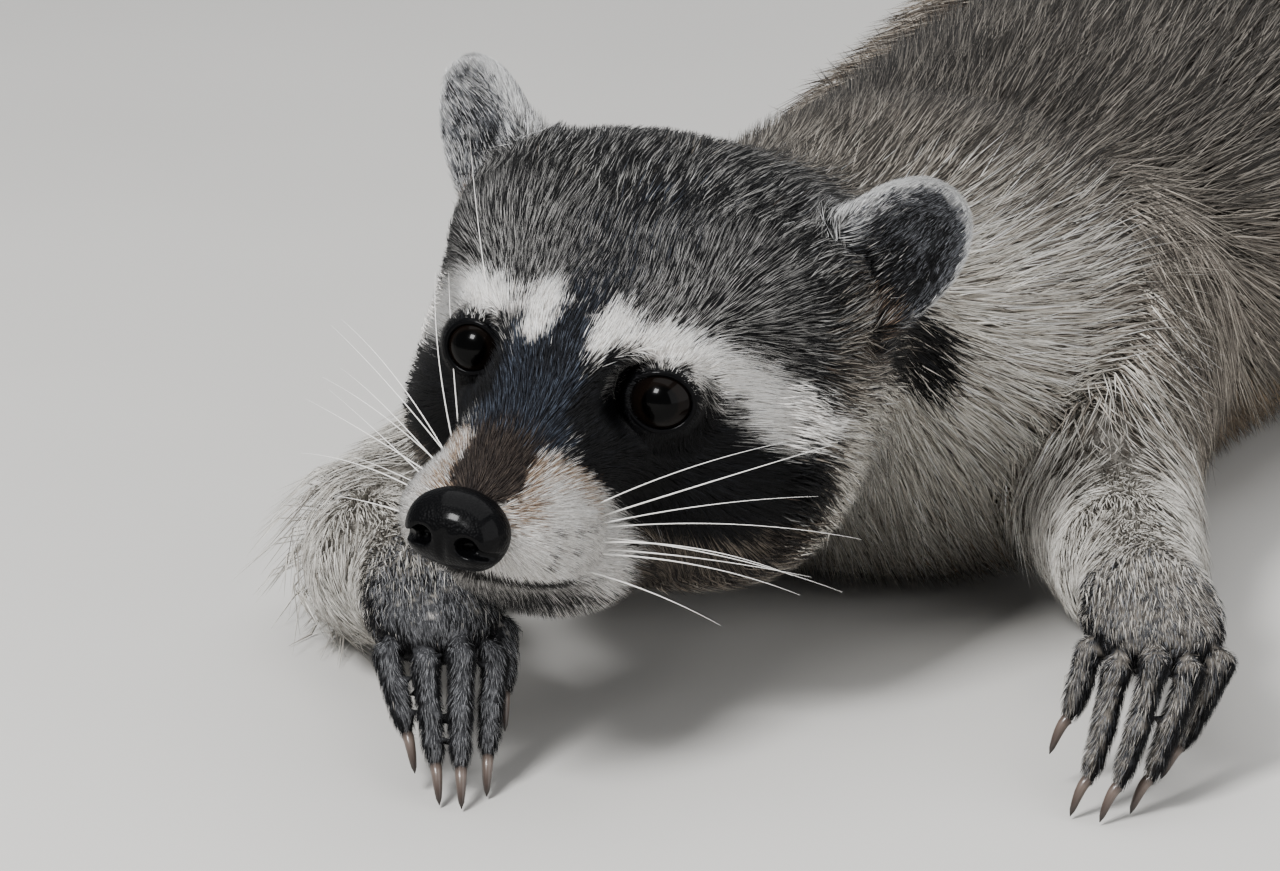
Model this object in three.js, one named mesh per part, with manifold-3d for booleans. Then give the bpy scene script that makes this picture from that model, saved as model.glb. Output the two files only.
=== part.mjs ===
// A raccoon lying at rest with its chin on its right wrist, life size.
// Millimetres, +Z up. It faces -Y and its own left is +X. Every surface is at the tips of the coat.
import * as THREE from "three";
import { mergeVertices } from "three/addons/utils/BufferGeometryUtils.js";
import Module from "manifold-3d";

const wasm = await Module();
wasm.setup();

// ---------------------------------------------------------------- driving dimensions
const GAP = 0.4; // between touching pieces
const FLOOR = 0; // what it lies on; whatever sags lower is cut flat here
const EYE_HEIGHT = 92; // midpoint between the eyes above the floor
const EYE_SPREAD = 22.5; // from the midline to the centre of an eye
const EYE_RADIUS = 8.2;
const CLAW_TIP = 0.7; // height of a resting claw's tip
const ROUND_END = 0.7; // the ring that rounds a tube's end, as a share of its radius

// How the head is held, in degrees: turned to its left, nose lifted, left side tipped down.
const HEAD_POSE = { turn: -2.2, lift: 6.9, roll: 9 };

// Each form is meshed inside a box, corner to corner, in cells of one size.
const MESHED = {
  head: { low: [-78, -66, 18], high: [82, 130, 152], cell: 9.9 },
  neck: { low: [-80, 30, -14], high: [110, 190, 150], cell: 17 },
  trunk: { low: [-90, 90, -22], high: [140, 530, 155], cell: 24 },
};
// The cuts before and behind the neck: the way each one faces, and how far its side is meshed past it.
const CUT = {
  head: { facing: [0, 1, -0.25], through: [0, 80, 0], spare: 12 }, // in the head's frame
  neck: { facing: [0.08, 1, -0.12], before: 6, spare: 16 }, // `before` the withers
};
const BLEND = { nape: 26, withers: 34 }; // how widely the neck runs into the skull and the trunk
const ROUNDS = { eye: [12, 8], nose: [14, 8], ear: [16, 8] }; // segments round and from pole to pole

// ---------------------------------------------------------------- forms
// A form is a function of a point that is negative inside. Sizes are half lengths.
const ball = (at, half) => (p) => {
  const x = (p.x - at[0]) / half[0];
  const y = (p.y - at[1]) / half[1];
  const z = (p.z - at[2]) / half[2];
  const reach = Math.hypot(x, y, z);
  return (reach * (reach - 1)) / Math.max(Math.hypot(x / half[0], y / half[1], z / half[2]), 1e-9);
};

const bar = (from, to, startRadius, endRadius) => {
  const start = new THREE.Vector3(...from);
  const along = new THREE.Vector3(...to).sub(start);
  const offset = new THREE.Vector3();
  return (p) => {
    offset.copy(p).sub(start);
    const t = THREE.MathUtils.clamp(offset.dot(along) / along.lengthSq(), 0, 1);
    return offset.addScaledVector(along, -t).length() - THREE.MathUtils.lerp(startRadius, endRadius, t);
  };
};

const soften = (a, b, width) => {
  const h = Math.max(width - Math.abs(a - b), 0) / width;
  return Math.min(a, b) - (h * h * width) / 4;
};

// Each form after the first grows out of the ones before it over its own blend width.
const grow =
  (first, ...rest) =>
  (p) =>
    rest.reduce((d, [form, width]) => soften(d, form(p), width), first(p));
const hollow = (form, tool, width) => (p) => -soften(-form(p), tool(p), width);
const bothSides = (form) => {
  const q = new THREE.Vector3();
  return (p) => form(q.set(Math.abs(p.x), p.y, p.z));
};
const placed = (form, matrix) => {
  const inverse = matrix.clone().invert();
  const q = new THREE.Vector3();
  return (p) => form(q.copy(p).applyMatrix4(inverse));
};
const before = (form, normal, reach) => (p) => Math.max(form(p), normal.dot(p) - reach);
const beyond = (form, normal, reach) => (p) => Math.max(form(p), reach - normal.dot(p));

// ---------------------------------------------------------------- from a form to a closed mesh
// One vertex in each cell that the surface crosses, drawn onto it, and one quad for each crossed edge.
function mesh(form, { low, high, cell }) {
  const count = [0, 1, 2].map((k) => Math.ceil((high[k] - low[k]) / cell) + 1);
  const index = (i, j, k) => i + count[0] * (j + count[1] * k);
  const corner = (...at) => new THREE.Vector3(...at.map((n, axis) => low[axis] + n * cell));
  const onEdge = (...at) => at.some((n, axis) => n === 0 || n === count[axis] - 1);
  const value = new Float64Array(count[0] * count[1] * count[2]);
  for (let k = 0; k < count[2]; k++)
    for (let j = 0; j < count[1]; j++)
      for (let i = 0; i < count[0]; i++) {
        const distance = form(corner(i, j, k));
        value[index(i, j, k)] = onEdge(i, j, k) ? Math.max(distance, cell / 4) : distance;
      }

  const vertexOf = new Map();
  const positions = [];
  const CORNERS = [...Array(8)].map((_, n) => [n & 1, (n >> 1) & 1, (n >> 2) & 1]);
  const EDGES = [];
  for (let a = 0; a < 8; a++) for (const bit of [1, 2, 4]) if (!(a & bit)) EDGES.push([a, a | bit]);
  for (let k = 0; k < count[2] - 1; k++)
    for (let j = 0; j < count[1] - 1; j++)
      for (let i = 0; i < count[0] - 1; i++) {
        const values = CORNERS.map(([a, b, c]) => value[index(i + a, j + b, k + c)]);
        const crossed = EDGES.filter(([a, b]) => values[a] < 0 !== values[b] < 0);
        if (!crossed.length) continue;
        const middle = new THREE.Vector3();
        for (const [a, b] of crossed) {
          const from = corner(i + CORNERS[a][0], j + CORNERS[a][1], k + CORNERS[a][2]);
          const to = corner(i + CORNERS[b][0], j + CORNERS[b][1], k + CORNERS[b][2]);
          middle.add(from.lerp(to, values[a] / (values[a] - values[b])));
        }
        middle.divideScalar(crossed.length);
        settle(form, middle, cell);
        vertexOf.set(index(i, j, k), positions.length / 3);
        positions.push(middle.x, middle.y, middle.z);
      }

  const faces = [];
  const AXES = [
    [1, 0, 0],
    [0, 1, 0],
    [0, 0, 1],
  ];
  for (let k = 0; k < count[2] - 1; k++)
    for (let j = 0; j < count[1] - 1; j++)
      for (let i = 0; i < count[0] - 1; i++)
        AXES.forEach((axis, n) => {
          if ([i, j, k].some((at, m) => m !== n && at === 0)) return;
          const here = value[index(i, j, k)] < 0;
          const next = value[index(i + axis[0], j + axis[1], k + axis[2])] < 0;
          if (here === next) return;
          const u = AXES[(n + 1) % 3];
          const v = AXES[(n + 2) % 3];
          const around = [
            [0, 0],
            [1, 0],
            [1, 1],
            [0, 1],
          ];
          const quad = around.map(([a, b]) => {
            const at = [i, j, k].map((n, m) => n - a * u[m] - b * v[m]);
            return vertexOf.get(index(...at));
          });
          if (!here) quad.reverse();
          faces.push(quad[0], quad[1], quad[2], quad[0], quad[2], quad[3]);
        });
  return solid(positions, faces);
}

// Moves a vertex onto the surface, by no more than half a cell.
function settle(form, point, cell) {
  const step = 0.05;
  const start = point.clone();
  const slope = new THREE.Vector3();
  const probe = new THREE.Vector3();
  for (let round = 0; round < 3; round++) {
    for (const axis of ["x", "y", "z"]) {
      probe.copy(point)[axis] += step;
      const ahead = form(probe);
      probe[axis] -= 2 * step;
      slope[axis] = (ahead - form(probe)) / (2 * step);
    }
    point.addScaledVector(slope, -form(point) / Math.max(slope.lengthSq(), 0.25));
  }
  const moved = point.clone().sub(start);
  if (moved.length() > cell / 2) point.copy(start).addScaledVector(moved.normalize(), cell / 2);
}

const solid = (positions, faces) =>
  new wasm.Manifold(
    new wasm.Mesh({
      numProp: 3,
      vertProperties: new Float32Array(positions),
      triVerts: new Uint32Array(faces),
    }),
  );

// A three.js geometry as a solid.
function solidOf(geometry) {
  const bare = geometry.clone().deleteAttribute("normal").deleteAttribute("uv");
  const merged = mergeVertices(bare, 1e-4);
  return solid(merged.attributes.position.array, merged.index.array);
}

// A tapered tube along a few points, `flat` as high as it is wide. Its ends are round, or it starts flat and
// runs out to a point.
function tube(points, radii, sides, { flat = 1, pointed = false } = {}) {
  const last = points.length - 1;
  const direction = (n) => points[Math.min(n + 1, last)].clone().sub(points[Math.max(n - 1, 0)]).normalize();
  const ring = (n, slip, share) => {
    const along = direction(n);
    const side = new THREE.Vector3(0, 0, 1).cross(along).normalize();
    const up = along.clone().cross(side);
    const centre = points[n].clone().addScaledVector(along, slip * radii[n] * flat);
    return [...Array(sides)].map((_, s) => {
      const angle = (2 * Math.PI * (s + 0.5)) / sides;
      const across = share * radii[n] * Math.cos(angle);
      const above = flat * share * radii[n] * Math.sin(angle);
      return centre.clone().addScaledVector(side, across).addScaledVector(up, above);
    });
  };
  const slip = Math.sqrt(1 - ROUND_END * ROUND_END);
  const rows = points.map((_, n) => ring(n, 0, 1));
  let start = points[0];
  let end = points[last];
  if (pointed) rows.pop();
  else {
    rows.unshift(ring(0, -slip, ROUND_END));
    rows.push(ring(last, slip, ROUND_END));
    start = start.clone().addScaledVector(direction(0), -radii[0] * flat);
    end = end.clone().addScaledVector(direction(last), radii[last] * flat);
  }
  const at = (row, s) => 1 + row * sides + (s % sides);
  const top = rows.length - 1;
  const faces = [];
  for (let s = 0; s < sides; s++) {
    faces.push(0, at(0, s + 1), at(0, s), 1 + rows.length * sides, at(top, s), at(top, s + 1));
    for (let row = 0; row < top; row++) {
      faces.push(at(row, s), at(row, s + 1), at(row + 1, s + 1));
      faces.push(at(row, s), at(row + 1, s + 1), at(row + 1, s));
    }
  }
  return solid([start, ...rows.flat(), end].flatMap((p) => p.toArray()), faces);
}

// ---------------------------------------------------------------- cuts
const keep = (body, normal, reach) => body.trimByPlane(normal.toArray(), reach);
// Parts a solid along a plane: [what lies behind it, what lies ahead of it].
const part = (body, normal, reach) => [
  keep(body, normal.clone().negate(), -(reach - GAP / 2)),
  keep(body, normal, reach + GAP / 2),
];
const largest = (body) => body.decompose().reduce((a, b) => (b.volume() > a.volume() ? b : a));
const onFloor = (body) => keep(body, new THREE.Vector3(0, 0, 1), FLOOR);

// The same solid with its skin moved out by the gap.
function swollen(body) {
  const m = body.getMesh();
  const geometry = new THREE.BufferGeometry()
    .setAttribute("position", new THREE.BufferAttribute(new Float32Array(m.vertProperties), 3))
    .setIndex(new THREE.BufferAttribute(new Uint32Array(m.triVerts), 1));
  geometry.computeVertexNormals();
  const { position, normal } = geometry.attributes;
  const out = [];
  for (let v = 0; v < position.count; v++)
    for (const get of ["getX", "getY", "getZ"]) out.push(position[get](v) + GAP * normal[get](v));
  return solid(out, m.triVerts);
}

// ---------------------------------------------------------------- the figure
const raccoon = new THREE.Group();
const FUR = { grizzled: 0x6f6a63, pale: 0xb9b2a6, dark: 0x2e2a28 };
const finish = (color, roughness) => new THREE.MeshStandardMaterial({ color, roughness, metalness: 0 });
const taken = []; // the space, with its gap, that pieces already fill

// Adds a solid as a node. What it fills is swollen by the gap and cut from every later piece.
function add(name, body, { color, roughness = 0.95, clear = taken, fills = body }) {
  const piece = largest(onFloor(clear.reduce((rest, other) => rest.subtract(other), body)));
  taken.push(swollen(fills));
  const m = piece.getMesh();
  const geometry = new THREE.BufferGeometry()
    .setAttribute("position", new THREE.BufferAttribute(new Float32Array(m.vertProperties), 3))
    .setIndex(new THREE.BufferAttribute(new Uint32Array(m.triVerts), 1));
  geometry.computeVertexNormals();
  const node = new THREE.Mesh(geometry, finish(color, roughness));
  node.name = name;
  raccoon.add(node);
  return piece;
}

const rad = THREE.MathUtils.degToRad;
const vec = (...p) => new THREE.Vector3(...p);
const HORN = { color: 0x4a3a2e, roughness: 0.4 };
const WET = { color: 0x0b0a0a, roughness: 0.1 };
const SIDES = [
  ["left", 1],
  ["right", -1],
];

// ---------------------------------------------------------------- head
// The head's own frame has its origin midway between the eyes, +Y towards the nape.
const headTurn = new THREE.Euler(-rad(HEAD_POSE.lift), rad(HEAD_POSE.roll), rad(HEAD_POSE.turn), "ZYX");
const headMatrix = new THREE.Matrix4().makeRotationFromEuler(headTurn).setPosition(0, 0, EYE_HEIGHT);
const ofHead = (...p) => vec(...p).applyMatrix4(headMatrix);

const SKULL = bothSides(
  hollow(
    grow(
      ball([0, 52, 4], [50, 52, 38]), // braincase
      [ball([24, 44, 20], [26, 38, 23]), 12], // crown
      [ball([0, 12, 6], [27, 26, 15]), 14], // brow
      [bar([0, 6, -8], [0, -30, -27], 25, 13.5), 16], // bridge of the muzzle
      [ball([9.5, -23, -31.5], [13.5, 19, 12.5]), 8], // whisker pad
      [ball([30, 41, -22], [25, 31, 27]), 18], // cheek
      [ball([0, 11, -43], [23, 34, 15]), 12], // lower jaw
      [ball([0, -22, -43], [9, 14, 6]), 5], // chin
      [ball([0, 54, -26], [46, 40, 34]), 14], // throat
    ),
    ball([22, -6, 0.5], [10.5, 9, 7.5]), // eye socket
    5,
  ),
);
const NOSE = { at: [0.3, -46, -28.5], half: [11.5, 9, 9] };
const EYE_BACK = 1.5; // how far an eye's centre lies behind the midpoint
const EAR = { at: [51.5, 51, 34], half: [15.5, 9, 21.5], hollow: 0.35, turn: 28, splay: 30, lean: 8 };

const NECK = {
  skull: [0, 70, -4], // in the head's frame
  withers: [16, 152, 66],
  radii: [44, 49],
};

const neckForm = bar(ofHead(...NECK.skull).toArray(), NECK.withers, ...NECK.radii);
const headForm = grow(placed(SKULL, headMatrix), [neckForm, BLEND.nape]);

// ---------------------------------------------------------------- trunk and tail
const TRUNK = grow(
  ball([16, 176, 50], [72, 70, 61]), // shoulders
  [ball([20, 252, 52], [80, 84, 61]), 40], // ribs
  [ball([24, 336, 53], [88, 90, 63]), 40], // belly and loin
  [ball([26, 416, 54], [82, 74, 67]), 40], // rump
);
const trunkForm = grow(TRUNK, [neckForm, BLEND.withers]);

const TAIL = {
  root: [30, 478, 44],
  bend: [34, 560, 27],
  sweep: [86, 640, 26],
  tip: [196, 655, 13],
  radii: [30, 31, 30, 27, 22, 14],
  pieces: 4,
  start: 0.16, // share of the path that the rump hides
  steps: 10,
  sides: 12,
};

// ---------------------------------------------------------------- limbs
const ARMS = {
  left: { shoulder: [54, 196, 54], elbow: [86, 136, 24], wrist: [120, 50, 37] },
  right: { shoulder: [-30, 164, 52], elbow: [-84, 66, 20], wrist: [-37, 6, 34] },
};
const ARM_RADII = { shoulder: 38, elbow: 20, forearm: 17, wrist: 12.5 };

// The hand: a palm and five digits. Each digit starts `across` the palm and `ahead` of the wrist.
// Headings are degrees from -Y towards +X, pitches are how steeply each bone falls.
const HAND = {
  left: { palm: 22, fingers: -4, curl: -13, pitch: [50, 60, 66, 60] },
  right: { palm: 37, fingers: 22, curl: 1, pitch: [38, 44, 48, 58] },
};
const DIGITS = [
  { across: 14, ahead: 13, bones: [8, 4, 3], splay: 0, rest: 9 },
  { across: 9, ahead: 25, bones: [13, 7, 4], splay: -5, rest: CLAW_TIP },
  { across: 0.5, ahead: 28, bones: [15, 8, 4.5], splay: 0, rest: CLAW_TIP },
  { across: -7.5, ahead: 26, bones: [13, 7.5, 4], splay: 8, rest: CLAW_TIP },
  { across: -15, ahead: 20, bones: [10, 6, 3.5], splay: 19, rest: 5 },
];
const CLAW = { length: 10, radius: 1.5, middle: 1.2, hook: 0.9, sides: 6 }; // length from the last joint
const PALM = { radii: [13, 15, 15], flat: 0.6, short: 12 }; // it ends `short` of the knuckles' line
// A finger's radii from its root, `buried` in the palm behind the knuckle, to its end.
const FINGER = { radii: [4.2, 4.2, 3.8, 3.4, 2.8], buried: 13 };

const LEGS = {
  left: { hip: [64, 420, 60], knee: [106, 348, 43], hock: [104, 436, 17], toes: [116, 362, 9] },
  right: { hip: [-12, 420, 60], knee: [-54, 348, 43], hock: [-52, 436, 17], toes: [-66, 362, 9] },
};
const LEG_RADII = { hip: 58, knee: 34, shank: 28, hock: 17 };
const SOLE = { radii: [17, 16, 17], flat: 0.62 };
const TOES = { across: [13, 7, 0, -7, -13], ahead: [2, 8, 10, 8, 1], length: 17, radii: [5.2, 4], rest: 4.4 };
const SIDES_OF_LIMB = 8;
const SIDES_OF_DIGIT = 5;

// Turns a heading in degrees, measured from -Y towards +X, into a level direction.
const heading = (degrees) => vec(Math.sin(rad(degrees)), -Math.cos(rad(degrees)), 0);

// The knuckle, joints, end and claw tip of one digit. It is laid out from the claw tip up.
function digitPoints(wrist, hand, digit, mirror) {
  const ahead = heading(hand.palm);
  const across = vec(-ahead.y, ahead.x, 0).multiplyScalar(-mirror);
  const lengths = [...digit.bones, CLAW.length];
  const steps = lengths.map((length, n) => {
    const along = heading(hand.fingers + hand.curl * n - mirror * digit.splay);
    const pitch = rad(hand.pitch[n]);
    return along.multiplyScalar(length * Math.cos(pitch)).setZ(-length * Math.sin(pitch));
  });
  const drop = steps.reduce((sum, step) => sum - step.z, 0);
  const knuckle = wrist.clone();
  knuckle.addScaledVector(ahead, digit.ahead).addScaledVector(across, digit.across);
  knuckle.z = digit.rest + drop;
  const points = [knuckle];
  steps.forEach((step, n) => points.push(points[n].clone().add(step)));
  return points;
}

// A claw: a cone that hooks down a little to its tip, set just clear of the end of its digit.
function claw(bone, to, endRadius) {
  const from = bone.clone().addScaledVector(to.clone().sub(bone).normalize(), endRadius + GAP);
  const middle = from.clone().lerp(to, 0.5);
  middle.z += CLAW.hook;
  return tube([from, middle, to], [CLAW.radius, CLAW.middle, 0], CLAW.sides, { pointed: true });
}

// ---------------------------------------------------------------- building
const headAxis = vec(...CUT.head.facing).normalize().transformDirection(headMatrix);
const headReach = headAxis.dot(ofHead(...CUT.head.through));
const neckAxis = vec(...CUT.neck.facing).normalize();
const neckReach = neckAxis.dot(vec(...NECK.withers)) - CUT.neck.before;

const headMesh = mesh(before(headForm, headAxis, headReach + CUT.head.spare), MESHED.head);
const neckBand = before(
  beyond(grow(headForm, [TRUNK, BLEND.withers]), headAxis, headReach - CUT.neck.spare),
  neckAxis,
  neckReach + CUT.neck.spare,
);
const neckMesh = mesh(neckBand, MESHED.neck);
const trunkMesh = mesh(beyond(trunkForm, neckAxis, neckReach - CUT.neck.spare), MESHED.trunk);

const eyes = SIDES.map(([side, x]) => {
  const geometry = new THREE.SphereGeometry(EYE_RADIUS, ...ROUNDS.eye);
  geometry.rotateX(Math.PI / 2).translate(x * EYE_SPREAD, EYE_BACK, 0).applyMatrix4(headMatrix);
  return [side, solidOf(geometry)];
});
for (const [side, body] of eyes) add(`eye_${side}`, body, WET);
const noseGeometry = new THREE.SphereGeometry(1, ...ROUNDS.nose).rotateX(Math.PI / 2).scale(...NOSE.half);
noseGeometry.translate(...NOSE.at).applyMatrix4(headMatrix);
add("nose", solidOf(noseGeometry), WET);

const [headPiece] = part(headMesh, headAxis, headReach);
add("head", headPiece, { color: FUR.grizzled, fills: headMesh });
const throughHead = taken.length;

// Ears: an upright oval cup, open to the front. Its rings run from the back, round the rim and down inside.
for (const [side, x] of SIDES) {
  const geometry = new THREE.SphereGeometry(1, ...ROUNDS.ear);
  const { position } = geometry.attributes;
  for (let v = 0; v < position.count; v++) {
    const depth = position.getY(v);
    position.setY(v, depth > 0 ? depth : -depth * EAR.hollow);
  }
  const turn = new THREE.Matrix4().makeRotationFromEuler(
    new THREE.Euler(rad(EAR.lean), x * rad(EAR.splay), x * rad(EAR.turn), "ZYX"),
  );
  const [ex, ey, ez] = EAR.at;
  geometry.scale(...EAR.half).applyMatrix4(turn).translate(x * ex, ey, ez).applyMatrix4(headMatrix);
  add(`ear_${side}`, solidOf(geometry), { color: FUR.dark });
}

const [, neckAhead] = part(neckMesh, headAxis, headReach);
const [neckPiece] = part(neckAhead, neckAxis, neckReach);
add("neck", neckPiece, { color: FUR.grizzled, clear: taken.slice(throughHead), fills: neckMesh });
const [, trunkPiece] = part(trunkMesh, neckAxis, neckReach);
add("trunk", trunkPiece, { color: FUR.grizzled, clear: [], fills: trunkMesh });

// Tail: a round taper along a smooth path, parted across that path.
const tailLine = [TAIL.root, TAIL.bend, TAIL.sweep, TAIL.tip];
const tailPath = new THREE.CatmullRomCurve3(tailLine.map((p) => vec(...p)));
const tailPoints = tailPath.getSpacedPoints(TAIL.steps);
const tailRadii = tailPoints.map((_, n) => {
  const t = (n / TAIL.steps) * (TAIL.radii.length - 1);
  const k = Math.min(Math.floor(t), TAIL.radii.length - 2);
  return THREE.MathUtils.lerp(TAIL.radii[k], TAIL.radii[k + 1], t - k);
});
let tailRest = tube(tailPoints, tailRadii, TAIL.sides).subtract(taken.at(-1));
for (let n = 1; n <= TAIL.pieces; n++) {
  let piece = tailRest;
  if (n < TAIL.pieces) {
    const share = TAIL.start + ((1 - TAIL.start) * n) / TAIL.pieces;
    const normal = tailPath.getTangentAt(share);
    const reach = normal.dot(tailPath.getPointAt(share));
    [piece, tailRest] = part(tailRest, normal, reach);
  }
  add(`tail_${n}`, piece, { color: n % 2 ? FUR.grizzled : FUR.dark, clear: [] });
}

// A limb bone's flesh: a taper with a middle ring, so that it can swell or thin there.
const limb = (from, to, radii) => {
  const ends = [vec(...from), vec(...to)];
  return tube([ends[0], ends[0].clone().lerp(ends[1], 0.5), ends[1]], radii, SIDES_OF_LIMB);
};

// Arms, hands and claws.
for (const [side, mirror] of SIDES) {
  const arm = ARMS[side];
  const digits = DIGITS.map((digit) => digitPoints(vec(...arm.wrist), HAND[side], digit, mirror));
  digits.forEach((points, n) => {
    const [, , , end, tip] = points;
    add(`claw_${side}_${n + 1}`, claw(end, tip, FINGER.radii.at(-1)), HORN);
  });
  const start = vec(...arm.wrist);
  const end = digits[1][0].clone().lerp(digits[4][0], 0.5);
  end.addScaledVector(end.clone().sub(start).normalize(), -PALM.short);
  const palm = tube([start, start.clone().lerp(end, 0.5), end], PALM.radii, SIDES_OF_LIMB, PALM);
  const hand = digits.reduce((body, [knuckle, ...joints]) => {
    const root = knuckle.clone().addScaledVector(start.clone().sub(knuckle).normalize(), FINGER.buried);
    return body.add(tube([root, knuckle, ...joints.slice(0, 3)], FINGER.radii, SIDES_OF_DIGIT));
  }, palm);
  add(`hand_${side}`, hand, { color: FUR.pale });
  const { shoulder, elbow, forearm, wrist } = ARM_RADII;
  add(`forearm_${side}`, limb(arm.elbow, arm.wrist, [elbow, forearm, wrist]), { color: FUR.pale });
  const upper = limb(arm.shoulder, arm.elbow, [shoulder, (shoulder + elbow) / 2, elbow]);
  add(`upper_arm_${side}`, upper, { color: FUR.grizzled });
}

// Hind legs, feet and claws.
for (const [side, mirror] of SIDES) {
  const leg = LEGS[side];
  const ahead = vec(...leg.toes).sub(vec(...leg.hock)).setZ(0).normalize();
  const across = vec(-ahead.y, ahead.x, 0).multiplyScalar(-mirror);
  const toes = TOES.across.map((offset, n) => {
    const root = vec(...leg.toes).addScaledVector(ahead, TOES.ahead[n]).addScaledVector(across, offset);
    const end = root.clone().addScaledVector(ahead, TOES.length).setZ(TOES.rest);
    const tip = end.clone().addScaledVector(ahead, CLAW.length).setZ(CLAW_TIP);
    return [root, end, tip];
  });
  toes.forEach(([, toe, tip], n) => add(`toe_claw_${side}_${n + 1}`, claw(toe, tip, TOES.radii[1]), HORN));
  const start = vec(...leg.hock);
  const end = vec(...leg.toes);
  const sole = tube([start, start.clone().lerp(end, 0.5), end], SOLE.radii, SIDES_OF_LIMB, SOLE);
  const toeTubes = toes.map((points) => tube(points.slice(0, 2), TOES.radii, SIDES_OF_DIGIT));
  add(`foot_${side}`, toeTubes.reduce((body, toe) => body.add(toe), sole), { color: FUR.pale });
  const { hip, knee, shank, hock } = LEG_RADII;
  const lower = limb(leg.knee, leg.hock, [shank, (shank + hock) / 2, hock]);
  add(`shank_${side}`, lower, { color: FUR.grizzled });
  const upper = limb(leg.hip, leg.knee, [hip, (hip + knee) / 2, knee]);
  add(`thigh_${side}`, upper, { color: FUR.grizzled });
}

// The origin is at the middle of the figure's plan, on the floor.
const extent = new THREE.Box3().setFromObject(raccoon);
const middle = extent.getCenter(new THREE.Vector3());
raccoon.position.set(-middle.x, -middle.y, -extent.min.z);
const figure = new THREE.Group();
figure.add(raccoon);

export default figure;
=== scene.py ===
"""Looks of a raccoon at rest with its chin on its right wrist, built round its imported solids.

Lengths inside the classes are millimetres in the figure's own frame, whose origin is on the floor
under the midpoint between the eyes. Meshes are handed to Blender in metres, in the frame of the solids.
"""

from __future__ import annotations

import logging
import math
from dataclasses import dataclass, field
from enum import Enum
from typing import Callable, Sequence

import bpy
import numpy as np
from mathutils import Euler, Matrix, Vector

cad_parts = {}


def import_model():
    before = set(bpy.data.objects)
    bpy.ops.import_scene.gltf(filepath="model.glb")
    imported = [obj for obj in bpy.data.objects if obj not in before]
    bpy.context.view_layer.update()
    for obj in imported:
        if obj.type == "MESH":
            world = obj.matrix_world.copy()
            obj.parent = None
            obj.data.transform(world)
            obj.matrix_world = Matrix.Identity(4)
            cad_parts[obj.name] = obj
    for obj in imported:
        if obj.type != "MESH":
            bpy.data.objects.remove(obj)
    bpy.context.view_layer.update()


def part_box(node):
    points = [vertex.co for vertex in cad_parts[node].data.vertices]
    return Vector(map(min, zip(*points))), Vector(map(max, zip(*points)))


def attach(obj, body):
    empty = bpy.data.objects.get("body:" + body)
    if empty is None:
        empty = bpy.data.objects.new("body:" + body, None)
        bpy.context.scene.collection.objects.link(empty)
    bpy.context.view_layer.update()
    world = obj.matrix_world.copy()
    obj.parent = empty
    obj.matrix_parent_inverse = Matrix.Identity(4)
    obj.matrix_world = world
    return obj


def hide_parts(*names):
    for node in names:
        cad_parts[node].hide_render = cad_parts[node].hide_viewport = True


Array = np.ndarray
Form = Callable[[Array], Array]
Point = tuple[float, float, float]
Link = tuple[bpy.types.Node, str | int, bpy.types.Node, str | int]

LOG = logging.getLogger("raccoon")
MM = 0.001
BODY = "root"
SIDES: dict[str, int] = {"left": 1, "right": -1}


# ------------------------------------------------------------------------------- small mathematics
def srgb(*channels: float) -> Array:
    """Turn 0-255 display values into linear light.

    Args:
        channels: red, green and blue as displayed.

    Returns:
        The three linear values.
    """
    share = np.array(channels, float) / 255.0
    return np.where(share <= 0.04045, share / 12.92, ((share + 0.055) / 1.055) ** 2.4)


def ramp(value: Array, low: float | Array, high: float | Array) -> Array:
    """Rise smoothly from 0 at low to 1 at high; low may be the larger.

    Args:
        value: what is measured.
        low: where the ramp is 0.
        high: where the ramp is 1.

    Returns:
        The smooth share.
    """
    share = np.clip((value - low) / (high - low), 0.0, 1.0)
    return share * share * (3.0 - 2.0 * share)


def unit(vectors: Array) -> Array:
    """Scale each row to length 1."""
    return vectors / np.maximum(np.linalg.norm(vectors, axis=-1, keepdims=True), 1e-9)


def heading(degrees: float) -> Array:
    """Turn an angle from -Y towards +X into a level direction."""
    angle = math.radians(degrees)
    return np.array([math.sin(angle), -math.cos(angle), 0.0])


def ripple(points: Array, length: float, seed: int) -> Array:
    """Give a smooth wandering value between about -1 and 1 for each point.

    Args:
        points: where it is read, in millimetres.
        length: size of its waves.
        seed: fixes its shape.

    Returns:
        One value for each point.
    """
    rng = np.random.default_rng(seed)
    total = np.zeros(len(points))
    waves = 7
    for _ in range(waves):
        along = unit(rng.normal(size=3)) * (2.0 * math.pi / (length * rng.uniform(0.7, 1.6)))
        total += np.sin(points @ along + rng.uniform(0.0, 2.0 * math.pi))
    return total / math.sqrt(waves * 1.2)


# ------------------------------------------------------------------------------- forms
def ball(at: Sequence[float], half: Sequence[float]) -> Form:
    """Make an ellipsoid's distance: negative inside, with half lengths along the axes."""
    centre, size = np.array(at, float), np.array(half, float)

    def distance(p: Array) -> Array:
        """Measure how far each point lies outside."""
        q = (p - centre) / size
        reach = np.sqrt((q * q).sum(1))
        slope = np.sqrt(((q / size) ** 2).sum(1))
        return reach * (reach - 1.0) / np.maximum(slope, 1e-9)

    return distance


def bar(start: Sequence[float], end: Sequence[float], first: float, last: float, flat: float = 1.0) -> Form:
    """Make a round-ended taper's distance; flat is its height as a share of its width."""
    squeeze = np.array([1.0, 1.0, 1.0 / flat])
    origin = np.array(start, float) * squeeze
    along = np.array(end, float) * squeeze - origin
    span = float(along @ along)

    def distance(p: Array) -> Array:
        """Measure how far each point lies outside."""
        offset = p * squeeze - origin
        t = np.clip(offset @ along / span, 0.0, 1.0)
        gap = np.linalg.norm(offset - t[:, None] * along, axis=1)
        return (gap - (first + (last - first) * t)) * (0.5 + 0.5 * flat)

    return distance


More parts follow.
